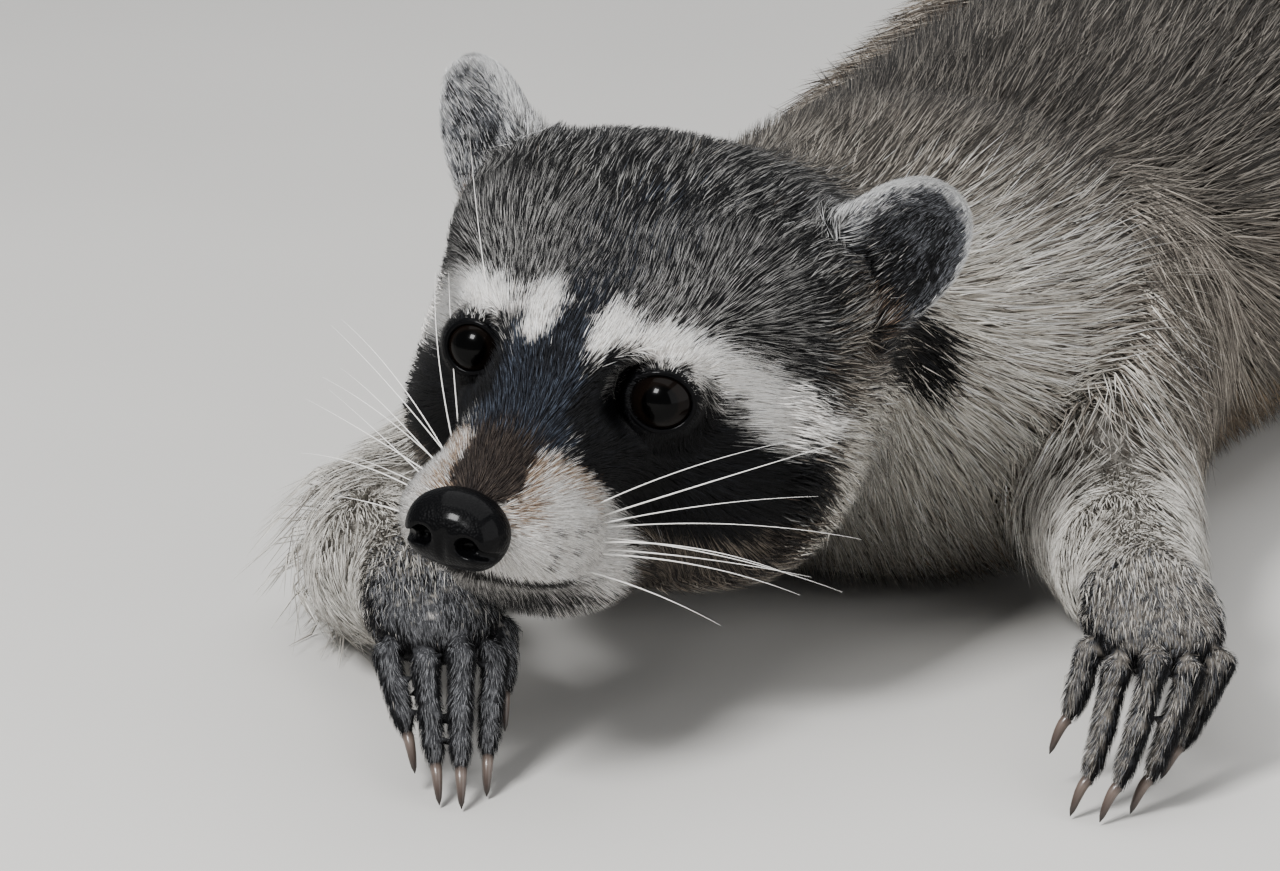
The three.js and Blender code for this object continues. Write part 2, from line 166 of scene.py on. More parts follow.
def soften(a: Array, b: Array, width: float | Array) -> Array:
    """Join two distances with a fillet of that width."""
    h = np.maximum(width - np.abs(a - b), 0.0) / width
    return np.minimum(a, b) - h * h * width / 4.0


def chain(points: Sequence, radii: Sequence[float]) -> Sequence[tuple]:
    """Pair each point and radius with the next ones: two points, then two radii."""
    return list(zip(points[:-1], points[1:], radii[:-1], radii[1:]))


def grow(first: Form, *rest: tuple[Form, float]) -> Form:
    """Let each later form grow out of those before it over its own fillet."""

    def distance(p: Array) -> Array:
        """Measure how far each point lies outside."""
        total = first(p)
        for form, width in rest:
            total = soften(total, form(p), width)
        return total

    return distance


def hollow(form: Form, tool: Form, width: float) -> Form:
    """Take the tool out of the form, with a rounded edge."""
    return lambda p: -soften(-form(p), tool(p), width)


def both_sides(form: Form) -> Form:
    """Mirror a form of the left side across the middle plane."""
    return lambda p: form(np.column_stack([np.abs(p[:, 0]), p[:, 1], p[:, 2]]))


def slope_of(form: Form, points: Array, step: float = 0.08) -> Array:
    """Measure the gradient of a form.

    Args:
        form: the distance.
        points: where it is measured.
        step: half the distance between probes.

    Returns:
        One vector for each point.
    """
    corners = np.array([[1, -1, -1], [-1, -1, 1], [-1, 1, -1], [1, 1, 1]], float)
    total = np.zeros_like(points)
    for corner in corners:
        total += corner * form(points + corner * step)[:, None]
    return total / (4.0 * step)


def drawn_to(
    form: Form, points: Array, level: float | Array = 0.0, rounds: int = 2, reach: float = 9.0
) -> Array:
    """Move points along the gradient until the form has the wanted value there.

    Args:
        form: the distance.
        points: where they start.
        level: the value wanted at each.
        rounds: how often the step is taken.
        reach: the longest single step.

    Returns:
        The moved points.
    """
    for _ in range(rounds):
        slope = slope_of(form, points)
        step = (form(points) - level) / np.maximum((slope * slope).sum(1), 0.3)
        points = points - slope * np.clip(step, -reach, reach)[:, None]
    return points


def between(t: Array, low: float, high: float, first: Array, second: Array) -> Array:
    """Blend two places as t goes from low to high."""
    return ((high - t) * first + (t - low) * second) / (high - low)


def smooth_path(points: Sequence[Point], steps: int) -> Array:
    """Lay a centripetal curve through a few points and walk it in equal steps.

    Args:
        points: what it passes through.
        steps: how many steps.

    Returns:
        steps + 1 points.
    """
    given = np.array(points, float)
    rows = np.vstack([2 * given[0] - given[1], given, 2 * given[-1] - given[-2]])
    dense: list[Array] = []
    for n in range(len(given) - 1):
        p = rows[n : n + 4]
        knots = [0.0]
        for k in range(3):
            knots.append(knots[-1] + math.sqrt(float(np.linalg.norm(p[k + 1] - p[k]))))
        t = np.linspace(knots[1], knots[2], 40)[:, None]
        a = [between(t, knots[k], knots[k + 1], p[k], p[k + 1]) for k in range(3)]
        b = [between(t, knots[k], knots[k + 2], a[k], a[k + 1]) for k in range(2)]
        dense.append(between(t, knots[1], knots[2], b[0], b[1]))
    line = np.vstack(dense)
    length = np.concatenate([[0.0], np.cumsum(np.linalg.norm(np.diff(line, axis=0), axis=1))])
    wanted = np.linspace(0.0, length[-1], steps + 1)
    return np.column_stack([np.interp(wanted, length, line[:, k]) for k in range(3)])


# ------------------------------------------------------------------------------- meshes
def closed_surface(form: Form, lines: Sequence[Array], levels: int = 3) -> tuple[Array, Array]:
    """Mesh the surface where a form is zero, with one vertex in each crossed cell.

    Args:
        form: the distance.
        lines: the places of the grid's planes along x, y and z.
        levels: how often the grid is halved on the way to its finest.

    Returns:
        The vertices and the quads.
    """
    count = [len(line) for line in lines]
    widest = [np.maximum(np.gradient(line), 1e-6) for line in lines]
    value = np.zeros((1, 1, 1))
    for level in range(levels, -1, -1):
        jump = 2**level
        taken = [np.arange(0, n, jump) for n in count]
        shape = tuple(len(t) for t in taken)
        if level == levels:
            value = np.zeros(shape)
            near = np.ones(shape, bool)
        else:
            for axis in range(3):
                value = np.repeat(value, 2, axis=axis)
            value = value[: shape[0], : shape[1], : shape[2]].copy()
            reach = np.sqrt(
                (widest[0][taken[0]] ** 2)[:, None, None]
                + (widest[1][taken[1]] ** 2)[None, :, None]
                + (widest[2][taken[2]] ** 2)[None, None, :]
            )
            near = np.abs(value) < reach * jump * 2.6
        at = np.nonzero(near)
        places = np.column_stack([lines[k][taken[k]][at[k]] for k in range(3)])
        parts = np.array_split(places, max(len(places) // 60000, 1))
        value[at] = np.concatenate([form(part) for part in parts])
    for axis in range(3):
        edge = np.moveaxis(value, axis, 0)
        edge[0] = np.maximum(edge[0], 0.2)
        edge[-1] = np.maximum(edge[-1], 0.2)
    return net(value, lines, form)


def net(value: Array, lines: Sequence[Array], form: Form) -> tuple[Array, Array]:
    """Draw the net of crossed cells over a grid of values.

    Args:
        value: the form's value at each grid point.
        lines: the grid's planes along x, y and z.
        form: the distance that the vertices settle on.

    Returns:
        The vertices and the quads.
    """
    inside = value < 0.0
    shape = tuple(n - 1 for n in value.shape)
    corners = [(i, j, k) for i in (0, 1) for j in (0, 1) for k in (0, 1)]

    def shifted(grid: Array, corner: tuple[int, int, int]) -> Array:
        """View the grid from one corner of each cell."""
        return grid[tuple(slice(c, c + n) for c, n in zip(corner, shape))]

    full = sum(shifted(inside, corner).astype(np.int8) for corner in corners)
    cells = np.nonzero((full > 0) & (full < 8))
    index = np.full(shape, -1, np.int64)
    index[cells] = np.arange(len(cells[0]))
    total = np.zeros((len(cells[0]), 3))
    crossings = np.zeros(len(cells[0]))
    for corner in corners:
        for axis in range(3):
            if corner[axis]:
                continue
            other = tuple(c + (n == axis) for n, c in enumerate(corner))
            a = value[tuple(cells[n] + corner[n] for n in range(3))]
            b = value[tuple(cells[n] + other[n] for n in range(3))]
            hit = (a < 0.0) != (b < 0.0)
            t = np.where(hit, a / np.where(hit, a - b, 1.0), 0.0)
            for n in range(3):
                low = lines[n][cells[n] + corner[n]]
                high = lines[n][cells[n] + other[n]]
                total[:, n] += np.where(hit, low + (high - low) * t, 0.0)
            crossings += hit
    vertices = total / crossings[:, None]
    widest = max(float(np.diff(line).max()) for line in lines)
    vertices = drawn_to(form, vertices, rounds=2, reach=widest * 0.35)

    quads: list[Array] = []
    for axis in range(3):
        u, v = (axis + 1) % 3, (axis + 2) % 3
        near = inside[tuple(slice(1, -1) if n != axis else slice(0, -1) for n in range(3))]
        far = inside[tuple(slice(1, -1) if n != axis else slice(1, None) for n in range(3))]
        at = np.nonzero(near != far)
        places = [at[n] + (0 if n == axis else 1) for n in range(3)]
        ring = []
        for back in ((0, 0), (1, 0), (1, 1), (0, 1)):
            cell = list(places)
            cell[u] = cell[u] - back[0]
            cell[v] = cell[v] - back[1]
            ring.append(index[tuple(cell)])
        faces = np.column_stack(ring)
        turned = ~near[at]
        faces[turned] = faces[turned][:, ::-1]
        quads.append(faces)
    return vertices, np.vstack(quads)


def placed(name: str, data: bpy.types.ID) -> bpy.types.Object:
    """Make an object of some data and link it to the scene."""
    made = bpy.data.objects.new(name, data)
    bpy.context.scene.collection.objects.link(made)
    return made


def mesh_object(name: str, vertices: Array, faces: Array, shift: Array) -> bpy.types.Object:
    """Make an object at the origin from arrays, with its place in its mesh.

    Args:
        name: the piece's name.
        vertices: places in the figure's frame, in millimetres.
        faces: vertex numbers, one row for each face, all rows as long.
        shift: from the figure's frame to that of the solids, in millimetres.

    Returns:
        The object, linked to the scene.
    """
    mesh = bpy.data.meshes.new(name)
    sides = faces.shape[1]
    mesh.vertices.add(len(vertices))
    mesh.vertices.foreach_set("co", ((vertices + shift) * MM).astype(np.float32).ravel())
    mesh.loops.add(faces.size)
    mesh.loops.foreach_set("vertex_index", faces.astype(np.int32).ravel())
    mesh.polygons.add(len(faces))
    mesh.polygons.foreach_set("loop_start", np.arange(0, faces.size, sides, dtype=np.int32))
    mesh.polygons.foreach_set("use_smooth", np.ones(len(faces), bool))
    mesh.update(calc_edges=True)
    mesh.validate()
    return placed(name, mesh)


def paint(made: bpy.types.Object, name: str, colours: Array) -> None:
    """Store one linear colour for each vertex.

    Args:
        made: the object.
        name: the attribute that its material reads.
        colours: linear red, green and blue.
    """
    attribute = made.data.attributes.new(name, "FLOAT_COLOR", "POINT")
    rows = np.column_stack([colours, np.ones(len(colours))])
    attribute.data.foreach_set("color", rows.astype(np.float32).ravel())


def note(made: bpy.types.Object, name: str, vectors: Array) -> None:
    """Store one vector for each vertex."""
    attribute = made.data.attributes.new(name, "FLOAT_VECTOR", "POINT")
    attribute.data.foreach_set("vector", vectors.astype(np.float32).ravel())


def map_uv(made: bpy.types.Object, per_vertex: Array) -> None:
    """Give the object the map OFBake from one place for each vertex."""
    loops = np.zeros(len(made.data.loops), np.int32)
    made.data.loops.foreach_get("vertex_index", loops)
    layer = made.data.uv_layers.new(name="OFBake")
    layer.data.foreach_set("uv", per_vertex[loops].astype(np.float32).ravel())


# ------------------------------------------------------------------------------- the animal's build
class Region(Enum):
    """A part of the body with its own coat."""

    HEAD = 0
    EAR = 1
    NECK = 2
    TRUNK = 3
    TAIL = 4
    ARM = 5
    HAND = 6
    FINGER = 7
    LEG = 8
    FOOT = 9
    TOE = 10


@dataclass(frozen=True)
class Flesh:
    """One form of the body at its coat's tips, with the way its hair lies."""

    region: Region
    form: Form
    lie: Array | None = None


@dataclass
class Digit:
    """The line of one finger or toe: its joints, the end of its flesh and its claw's tip."""

    points: Array
    radii: Sequence[float]


@dataclass
class HeadShape:
    """The head in its own frame: +Y towards the nape, origin midway between the eyes."""

    eye_height: float = 92.0
    eye_spread: float = 22.5
    eye_radius: float = 8.2
    eye_back: float = 1.5
    turn: float = -2.2
    lift: float = 6.9
    roll: float = 9.0
    ear_at: Point = (51.5, 51.0, 34.0)
    ear_half: Point = (15.5, 9.0, 21.5)
    ear_turn: float = 28.0
    ear_splay: float = 30.0
    ear_lean: float = 8.0
    face_coat: float = 1.6
    crown_coat: float = 4.2
    cheek_coat: float = 4.6
    chin_coat: float = 1.8
    gaze: Point = (0.3, -1.0, 0.02)
    opening: dict[str, tuple[float, float]] = field(
        default_factory=lambda: {"left": (60.0, 50.0), "right": (46.0, 43.0)}
    )
    inward: dict[str, float] = field(default_factory=lambda: {"left": 0.0, "right": 18.0})
    lid: float = 0.9

    def __post_init__(self) -> None:
        """Work out the turning matrices and how the eyes look out."""
        self.gaze_out = unit(np.array(self.gaze))
        self.gaze_across = unit(np.cross(self.gaze_out, (0.0, 0.0, 1.0))) * -1.0
        self.gaze_up = unit(np.array([0.0, 0.0, 1.0]) - self.gaze_out * self.gaze_out[2])
        angles = (-math.radians(self.lift), math.radians(self.roll), math.radians(self.turn))
        self.matrix = np.array(Euler(angles, "XYZ").to_matrix())
        self.origin = np.array([0.0, 0.0, self.eye_height])
        self.ears = {}
        for side, x in SIDES.items():
            turns = (self.ear_lean, x * self.ear_splay, x * self.ear_turn)
            self.ears[side] = np.array(Euler([math.radians(a) for a in turns], "XYZ").to_matrix())

    def world(self, points: Array) -> Array:
        """Take points from the head's frame to the figure's."""
        return points @ self.matrix.T + self.origin

    def own(self, points: Array) -> Array:
        """Take points from the figure's frame to the head's."""
        return (points - self.origin) @ self.matrix

    def ear_own(self, side: str, q: Array) -> Array:
        """Take points from the head's frame to an ear's, whose +Z is its tip and +Y its back."""
        centre = np.array(self.ear_at) * (SIDES[side], 1.0, 1.0)
        return (q - centre) @ self.ears[side]

    def skull(self) -> Form:
        """Build the skull's form at the tips of its coat."""
        return both_sides(
            hollow(
                grow(
                    ball((0, 52, 4), (50, 52, 38)),
                    (ball((24, 44, 20), (26, 38, 23)), 12),
                    (ball((0, 12, 6), (27, 26, 15)), 14),
                    (bar((0, 6, -8), (0, -30, -27), 25, 13.5), 16),
                    (ball((9.5, -23, -31.5), (13.5, 19, 12.5)), 8),
                    (ball((30, 41, -22), (25, 31, 27)), 18),
                    (ball((0, 11, -43), (23, 34, 15)), 12),
                    (ball((0, -22, -43), (9, 14, 6)), 5),
                    (ball((0, 54, -26), (46, 40, 34)), 14),
                ),
                ball((22, -6, 0.5), (10.5, 9, 7.5)),
                5,
            )
        )

    def coat(self, q: Array) -> Array:
        """Give the coat's depth over the head, from points in its own frame."""
        back, low = ramp(q[:, 1], -4.0, 40.0), ramp(-q[:, 2], -8.0, 18.0)
        chin = ramp(q[:, 2], -41.5, -45.5) * ramp(q[:, 1], 12.0, -12.0)
        cheek = self.cheek_coat * ramp(q[:, 1], 8.0, 52.0) * low
        return self.face_coat + self.crown_coat * back + cheek + self.chin_coat * chin

    def gaze_axes(self, side: str) -> tuple[Array, Array, Array]:
        """Give the directions out of one eye, across it to the temple and up, as if it were the left eye."""
        turn = math.radians(self.inward[side])
        out = self.gaze_out * math.cos(turn) - self.gaze_across * math.sin(turn)
        return out, self.gaze_across * math.cos(turn) + self.gaze_out * math.sin(turn), self.gaze_up

    def eye_own(self, q: Array) -> Array:
        """Measure points of the head's frame from the centre of the eye on their side: out, across and up."""
        folded = np.column_stack([np.abs(q[:, 0]), q[:, 1], q[:, 2]]) - (self.eye_spread, self.eye_back, 0.0)
        left, right = (folded @ np.column_stack(self.gaze_axes(side)) for side in SIDES)
        return np.where(q[:, :1] > 0.0, left, right)

    def lidded(self, skull: Array, q: Array) -> Array:
        """Raise the skin into lids round each eye, and open them."""
        e = self.eye_own(q)
        reach = np.linalg.norm(e, axis=1)
        raised = soften(skull, reach - self.eye_radius - self.lid, 3.0)
        left, right = (np.sin(np.radians(self.opening[side])) for side in SIDES)
        wide, tall = np.where(q[:, :1] > 0.0, left, right).T
        gap = np.hypot(e[:, 1] / wide, e[:, 2] / tall) - reach
        gap = np.maximum.reduce([gap, -e[:, 0], reach - self.eye_radius - 5.0])
        return -soften(-raised, gap * 0.8, 0.8)

    def ear(self, side: str, bare: bool) -> Form:
        """Build one ear, a cup open to the front."""
        less = 1.1 if bare else 0.0
        half = np.array(self.ear_half) - less
        outer = ball((0, 0, 0), half)
        inner = ball((0, -4.6, -0.5), half - (3.0, 1.4, 3.2) + 2 * less * 0.4)
        cup = hollow(lambda p: np.maximum(outer(p), -p[:, 1] - 1.2), inner, 1.6)
        return lambda q: cup(self.ear_own(side, q))


@dataclass
class Anatomy:
    """The whole body as forms, at its skin and at its coat's tips."""

    head: HeadShape = field(default_factory=HeadShape)
    neck_skull: Point = (0.0, 70.0, -4.0)
    withers: Point = (16.0, 152.0, 66.0)
    neck_radii: tuple[float, float] = (44.0, 49.0)
    neck_coat: float = 15.0
    trunk_coat: float = 18.0
    trunk: tuple[tuple[Point, Point], ...] = (
        ((16, 176, 50), (72, 70, 61)),
        ((20, 252, 52), (80, 84, 61)),
        ((24, 336, 53), (88, 90, 63)),
        ((26, 416, 54), (82, 74, 67)),
    )
    tail_line: tuple[Point, ...] = ((30, 478, 44), (34, 560, 27), (86, 640, 26), (196, 655, 13))
    tail_radii: tuple[float, ...] = (30, 31, 30, 27, 22, 14)
    tail_coat: float = 0.5
    arms: dict[str, tuple[Point, Point, Point]] = field(
        default_factory=lambda: {
            "left": ((54, 196, 54), (86, 136, 24), (120, 50, 37)),
            "right": ((-30, 164, 52), (-84, 66, 20), (-37, 6, 34)),
        }
    )
    arm_radii: tuple[float, float, float, float] = (38.0, 20.0, 17.0, 12.5)
    arm_coat: tuple[float, float, float, float] = (11.0, 7.5, 5.0, 2.6)
    arm_droop: tuple[float, float, float] = (0.8, 0.6, 0.45)
    legs: dict[str, tuple[Point, Point, Point, Point]] = field(
        default_factory=lambda: {
            "left": ((64, 420, 60), (106, 348, 43), (104, 436, 17), (116, 362, 9)),
            "right": ((-12, 420, 60), (-54, 348, 43), (-52, 436, 17), (-66, 362, 9)),
        }
    )
    leg_radii: tuple[float, float, float, float] = (58.0, 34.0, 28.0, 17.0)
    leg_coat: tuple[float, float, float, float] = (18.0, 11.0, 9.0, 4.0)
    palm_radii: tuple[float, float, float] = (13.0, 15.0, 15.0)
    palm_flat: float = 0.6
    palm_short: float = 12.0
    finger_radii: tuple[float, ...] = (4.2, 4.2, 3.8, 3.4, 2.8)
    finger_buried: float = 13.0
    sole_radii: tuple[float, float, float] = (17.0, 16.0, 17.0)
    sole_flat: float = 0.62
    toe_radii: tuple[float, float] = (5.2, 4.0)
    toe_length: float = 17.0
    claw_length: float = 10.0
    claw_tip: float = 0.7
    hand_coat: float = 1.4
    foot_coat: float = 1.4
    sole_height: float = 0.4

    HAND_POSE = {
        "left": {"palm": 22.0, "fingers": -4.0, "curl": -13.0, "pitch": (50.0, 60.0, 66.0, 60.0)},
        "right": {"palm": 37.0, "fingers": 22.0, "curl": 1.0, "pitch": (38.0, 44.0, 48.0, 58.0)},
    }
    DIGITS = (
        (14.0, 13.0, (8, 4, 3), 0.0, 9.0),
        (9.0, 25.0, (13, 7, 4), -5.0, 0.7),
        (0.5, 28.0, (15, 8, 4.5), 0.0, 0.7),
        (-7.5, 26.0, (13, 7.5, 4), 8.0, 0.7),
        (-15.0, 20.0, (10, 6, 3.5), 19.0, 5.0),
    )
    TOES = ((13.0, 2.0), (7.0, 8.0), (0.0, 10.0), (-7.0, 8.0), (-13.0, 1.0))

    def __post_init__(self) -> None:
        """Lay out the digits and the tail, and build both forms."""
        self.fingers = {side: self._fingers(side) for side in SIDES}
        self.toes = {side: self._toes(side) for side in SIDES}
        self.tail_points = smooth_path(self.tail_line, 10)
        share = np.linspace(0, len(self.tail_radii) - 1, len(self.tail_points))
        self.tail_widths = np.interp(share, np.arange(len(self.tail_radii)), self.tail_radii)
        self.members: list[Flesh] = []
        self.tips = self._build(bare=False)
        self.members.clear()
        self.skin = self._build(bare=True)

    def _fingers(self, side: str) -> list[Digit]:
        """Lay out one hand's five digits from the claw tips up."""
        hand, mirror = self.HAND_POSE[side], SIDES[side]
        wrist = np.array(self.arms[side][2], float)
        ahead = heading(hand["palm"])
        across = np.array([-ahead[1], ahead[0], 0.0]) * -mirror
        made = []
        for offset, forward, bones, splay, rest in self.DIGITS:
            steps = []
            for n, length in enumerate((*bones, self.claw_length)):
                along = heading(hand["fingers"] + hand["curl"] * n - mirror * splay)
                pitch = math.radians(hand["pitch"][n])
                steps.append(along * length * math.cos(pitch) - np.array([0, 0, length * math.sin(pitch)]))
            knuckle = wrist + ahead * forward + across * offset
            knuckle[2] = rest - sum(step[2] for step in steps)
            root = knuckle + unit(wrist - knuckle) * self.finger_buried
            joints = np.vstack([root, knuckle, knuckle + np.cumsum(steps, axis=0)])
            made.append(Digit(joints, self.finger_radii))
        return made

    def _toes(self, side: str) -> list[Digit]:
        """Lay out one hind foot's five toes."""
        hock, tread = (np.array(p, float) for p in self.legs[side][2:])
        ahead = unit((tread - hock) * (1, 1, 0))
        across = np.array([-ahead[1], ahead[0], 0.0]) * -SIDES[side]
        made = []
        for offset, forward in self.TOES:
            root = tread + ahead * forward + across * offset
            end = root + ahead * self.toe_length
            end[2] = 4.4
            tip = end + ahead * self.claw_length
            tip[2] = self.claw_tip
            made.append(Digit(np.vstack([root, end, tip]), self.toe_radii))
        return made

    def _member(self, region: Region, form: Form, lie: Array | None = None) -> Form:
        """Remember a form as part of a region, and hand it on."""
        self.members.append(Flesh(region, form, lie))
        return form

    def _limb(
        self, region: Region, start: Point, end: Point, first: float, last: float, droop: float = 0.0
    ) -> Form:
        """Make one length of a limb, with its hair lying along it or drooping from it."""
        along = unit(np.subtract(end, start).astype(float)) - (0.0, 0.0, droop)
        return self._member(region, bar(start, end, first, last), unit(along))

    def _paw(
        self, start: Array, end: Array, radii: Sequence[float], flat: float, less: float, region: Region
    ) -> Form:
        """Make a palm or a sole from two flat tapers."""
        middle = (start + end) / 2
        lie = unit(end - start)
        first = bar(start, middle, radii[0] - less, radii[1] - less, flat)
        second = bar(middle, end, radii[1] - less, radii[2] - less, flat)
        return grow(self._member(region, first, lie), (self._member(region, second, lie), 4.0))

    def _digit(self, digit: Digit, less: float, region: Region) -> Form:
        """Make one finger or toe."""
        lengths = chain(digit.points[:-1], digit.radii)
        bones = [self._limb(region, a, b, r - less, s - less) for a, b, r, s in lengths]
        return grow(bones[0], *[(bone, 1.5) for bone in bones[1:]])

    def _arm(self, side: str, bare: bool) -> Form:
        """Make one arm with its hand."""
        shoulder, elbow, wrist = self.arms[side]
        r = np.array(self.arm_radii) - (self.arm_coat if bare else np.zeros(4))
        middle = tuple((np.array(elbow) + wrist) / 2)
        skin = self.hand_coat if bare else 0.0
        digits = self.fingers[side]
        knuckles = (digits[1].points[1] + digits[4].points[1]) / 2
        palm_end = knuckles - unit(knuckles - wrist) * self.palm_short
        palm = self._paw(np.array(wrist, float), palm_end, self.palm_radii, self.palm_flat, skin, Region.HAND)
        droop = self.arm_droop
        return grow(
            self._limb(Region.ARM, shoulder, elbow, r[0], r[1], droop[0]),
            (self._limb(Region.ARM, elbow, middle, r[1], r[2], droop[1]), 10.0),
            (self._limb(Region.ARM, middle, wrist, r[2], r[3], droop[2]), 8.0),
            (palm, 9.0),
            *[(self._digit(digit, skin, Region.FINGER), 0.7) for digit in digits],
        )

    def _leg(self, side: str, bare: bool) -> Form:
        """Make one hind leg with its foot."""
        hip, knee, hock, tread = self.legs[side]
        r = np.array(self.leg_radii) - (self.leg_coat if bare else np.zeros(4))
        skin = self.foot_coat if bare else 0.0
        ends = np.array([hock, tread], float)
        sole = self._paw(*ends, self.sole_radii, self.sole_flat, skin, Region.FOOT)
        return grow(
            self._limb(Region.LEG, hip, knee, r[0], r[1]),
            (self._limb(Region.LEG, knee, hock, r[2], r[3]), 14.0),
            (sole, 8.0),
            *[(self._digit(toe, skin, Region.TOE), 3.0) for toe in self.toes[side]],
        )

    def _build(self, bare: bool) -> Form:
        """Join every part into one form.

        Args:
            bare: True for the skin, False for the coat's tips.

        Returns:
            The form.
        """
        head, skull = self.head, self.head.skull()

        def dressed_skull(q: Array) -> Array:
            """Measure from the skull's skin, with its lids, or from the tips of its coat."""
            return head.lidded(skull(q) + head.coat(q), q) if bare else skull(q)

        ears = {side: head.ear(side, bare) for side in SIDES}

        def whole_head(p: Array) -> Array:
            """Join skull and ears."""
            q = head.own(p)
            total = dressed_skull(q)
            for ear in ears.values():
                total = soften(total, ear(q), 6.0)
            return total

        self._member(Region.HEAD, lambda p: dressed_skull(head.own(p)))
        for side in SIDES:
            up = head.matrix @ head.ears[side] @ np.array([0.0, 0.0, 1.0])
            self._member(Region.EAR, lambda p, ear=ears[side]: ear(head.own(p)), up)
        less = self.neck_coat if bare else 0.0
        nape = head.world(np.array([self.neck_skull]))[0]
        neck = bar(nape, self.withers, self.neck_radii[0] - less * 0.8, self.neck_radii[1] - less)
        self._member(Region.NECK, neck)
        less = self.trunk_coat if bare else 0.0
        balls = [self._member(Region.TRUNK, ball(at, np.array(half) - less)) for at, half in self.trunk]
        trunk = grow(balls[0], *[(form, 40.0) for form in balls[1:]])
        widths = self.tail_widths * (self.tail_coat if bare else 1.0)
        tail_bones = [self._limb(Region.TAIL, *ends) for ends in chain(self.tail_points, widths)]
        tail = grow(tail_bones[0], *[(bone, 2.0) for bone in tail_bones[1:]])
        arms = {side: self._arm(side, bare) for side in SIDES}
        legs = {side: self._leg(side, bare) for side in SIDES}

        def body(p: Array) -> Array:
            """Join the whole animal."""
            total = soften(whole_head(p), neck(p), 26.0)
            total = soften(total, trunk(p), 34.0)
            total = soften(total, tail(p), 16.0)
            for leg in legs.values():
                total = soften(total, leg(p), 18.0)
            for side, arm in arms.items():
                elbow = self.arms[side][1][1]
                fillet = 0.6 + 20.0 * ramp(p[:, 1], elbow - 10.0, elbow + 60.0)
                total = soften(total, arm(p), fillet)
            return np.maximum(total, (self.sole_height if bare else 0.0) - p[:, 2])

        return body

    def shares(self, points: Array, blur: float = 4.0) -> Array:
        """Say how much each member owns each point.

        Args:
            points: in the figure's frame.
            blur: how far neighbours mix, in millimetres.

        Returns:
            One row for each point, adding to 1 over the members.
        """
        distance = np.column_stack([member.form(points) for member in self.members])
        nearest = distance.min(1, keepdims=True)
        weight = np.exp(-(distance - nearest) / blur)
        return weight / weight.sum(1, keepdims=True)


@dataclass
class Lie:
    """The way the coat lies: back from the nose, then along the body and down its sides and limbs."""

    build: Anatomy
    nose: Point = (0.0, -46.0, -25.0)
    back: Point = (0.0, 1.0, -0.42)
    along: Point = (0.0, 1.0, -0.1)
    apart: float = 0.12
    sag: float = 0.55
    hang: float = 0.9
    stray: float = 0.14

    def of(self, points: Array, normals: Array, shares: Array, seed: int) -> Array:
        """Give the lie at each point, as a unit vector in the skin.

        Args:
            points: on the skin, in the figure's frame.
            normals: the skin's normals there.
            shares: the members' shares from Anatomy.shares.
            seed: fixes the strays.

        Returns:
            One direction for each point.
        """
        head = self.build.head
        q = head.own(points)
        radial = q - np.array(self.nose)
        radial[:, 0] *= 0.3 + 0.7 * ramp(q[:, 2], -10.0, -24.0)
        radial = unit(radial)
        late = ramp(q[:, 1], -16.0, 46.0)[:, None]
        apart = np.column_stack([np.sign(q[:, 0]) * self.apart, np.zeros((len(q), 2))])
        backward = np.array(self.back) + apart
        high = ramp(q[:, 2], -4.0, 26.0)[:, None]
        backward[:, 2:] *= 1.0 - high
        eye = head.eye_own(q)
        near = ramp(np.linalg.norm(eye, axis=1), 14.0, 9.8)[:, None]
        rim = eye[:, 1:2] * head.gaze_across + eye[:, 2:] * head.gaze_up
        away = unit(rim) * np.column_stack([np.sign(q[:, 0]), np.ones((len(q), 2))])
        head_lie = unit(radial * (1.0 - 0.75 * late) + backward * late)
        head_lie = unit(head_lie * (1.0 - near) + away * near) @ head.matrix.T
        side_share = np.clip(1.0 - normals[:, 2], 0.0, 1.0)
        sagging = np.column_stack([np.zeros((len(points), 2)), -self.sag * side_share])
        body_lie = np.array(self.along) + sagging
        total = np.zeros_like(points)
        for n, member in enumerate(self.build.members):
            if member.region is Region.HEAD:
                direction = head_lie
            elif member.lie is None:
                direction = body_lie
            else:
                direction = np.broadcast_to(member.lie, points.shape)
            total += shares[:, n : n + 1] * direction
        wander = np.column_stack([ripple(points, 16.0, seed + k) for k in range(3)])
        rng = np.random.default_rng(seed)
        total = unit(total)
        head_on = ramp(np.abs((total * normals).sum(1)), 0.55, 0.95)[:, None]
        total = total + head_on * (0.0, 0.0, -self.hang)
        total = total + wander * self.stray + rng.normal(size=points.shape) * self.stray * 0.55
        flat = total - (total * normals).sum(1, keepdims=True) * normals
        return unit(flat)


# ------------------------------------------------------------------------------- markings
@dataclass(frozen=True)
class Pelt:
    """One kind of hair: its colours at root, middle and tip, and a second tip that some hairs have. The root
    colours are darker partly from the hair's own banding and partly as painted shade deep in the coat.
    """

    root: Point
    middle: Point
    tip: Point
    other: Point
    share: float
    spread: float = 0.16


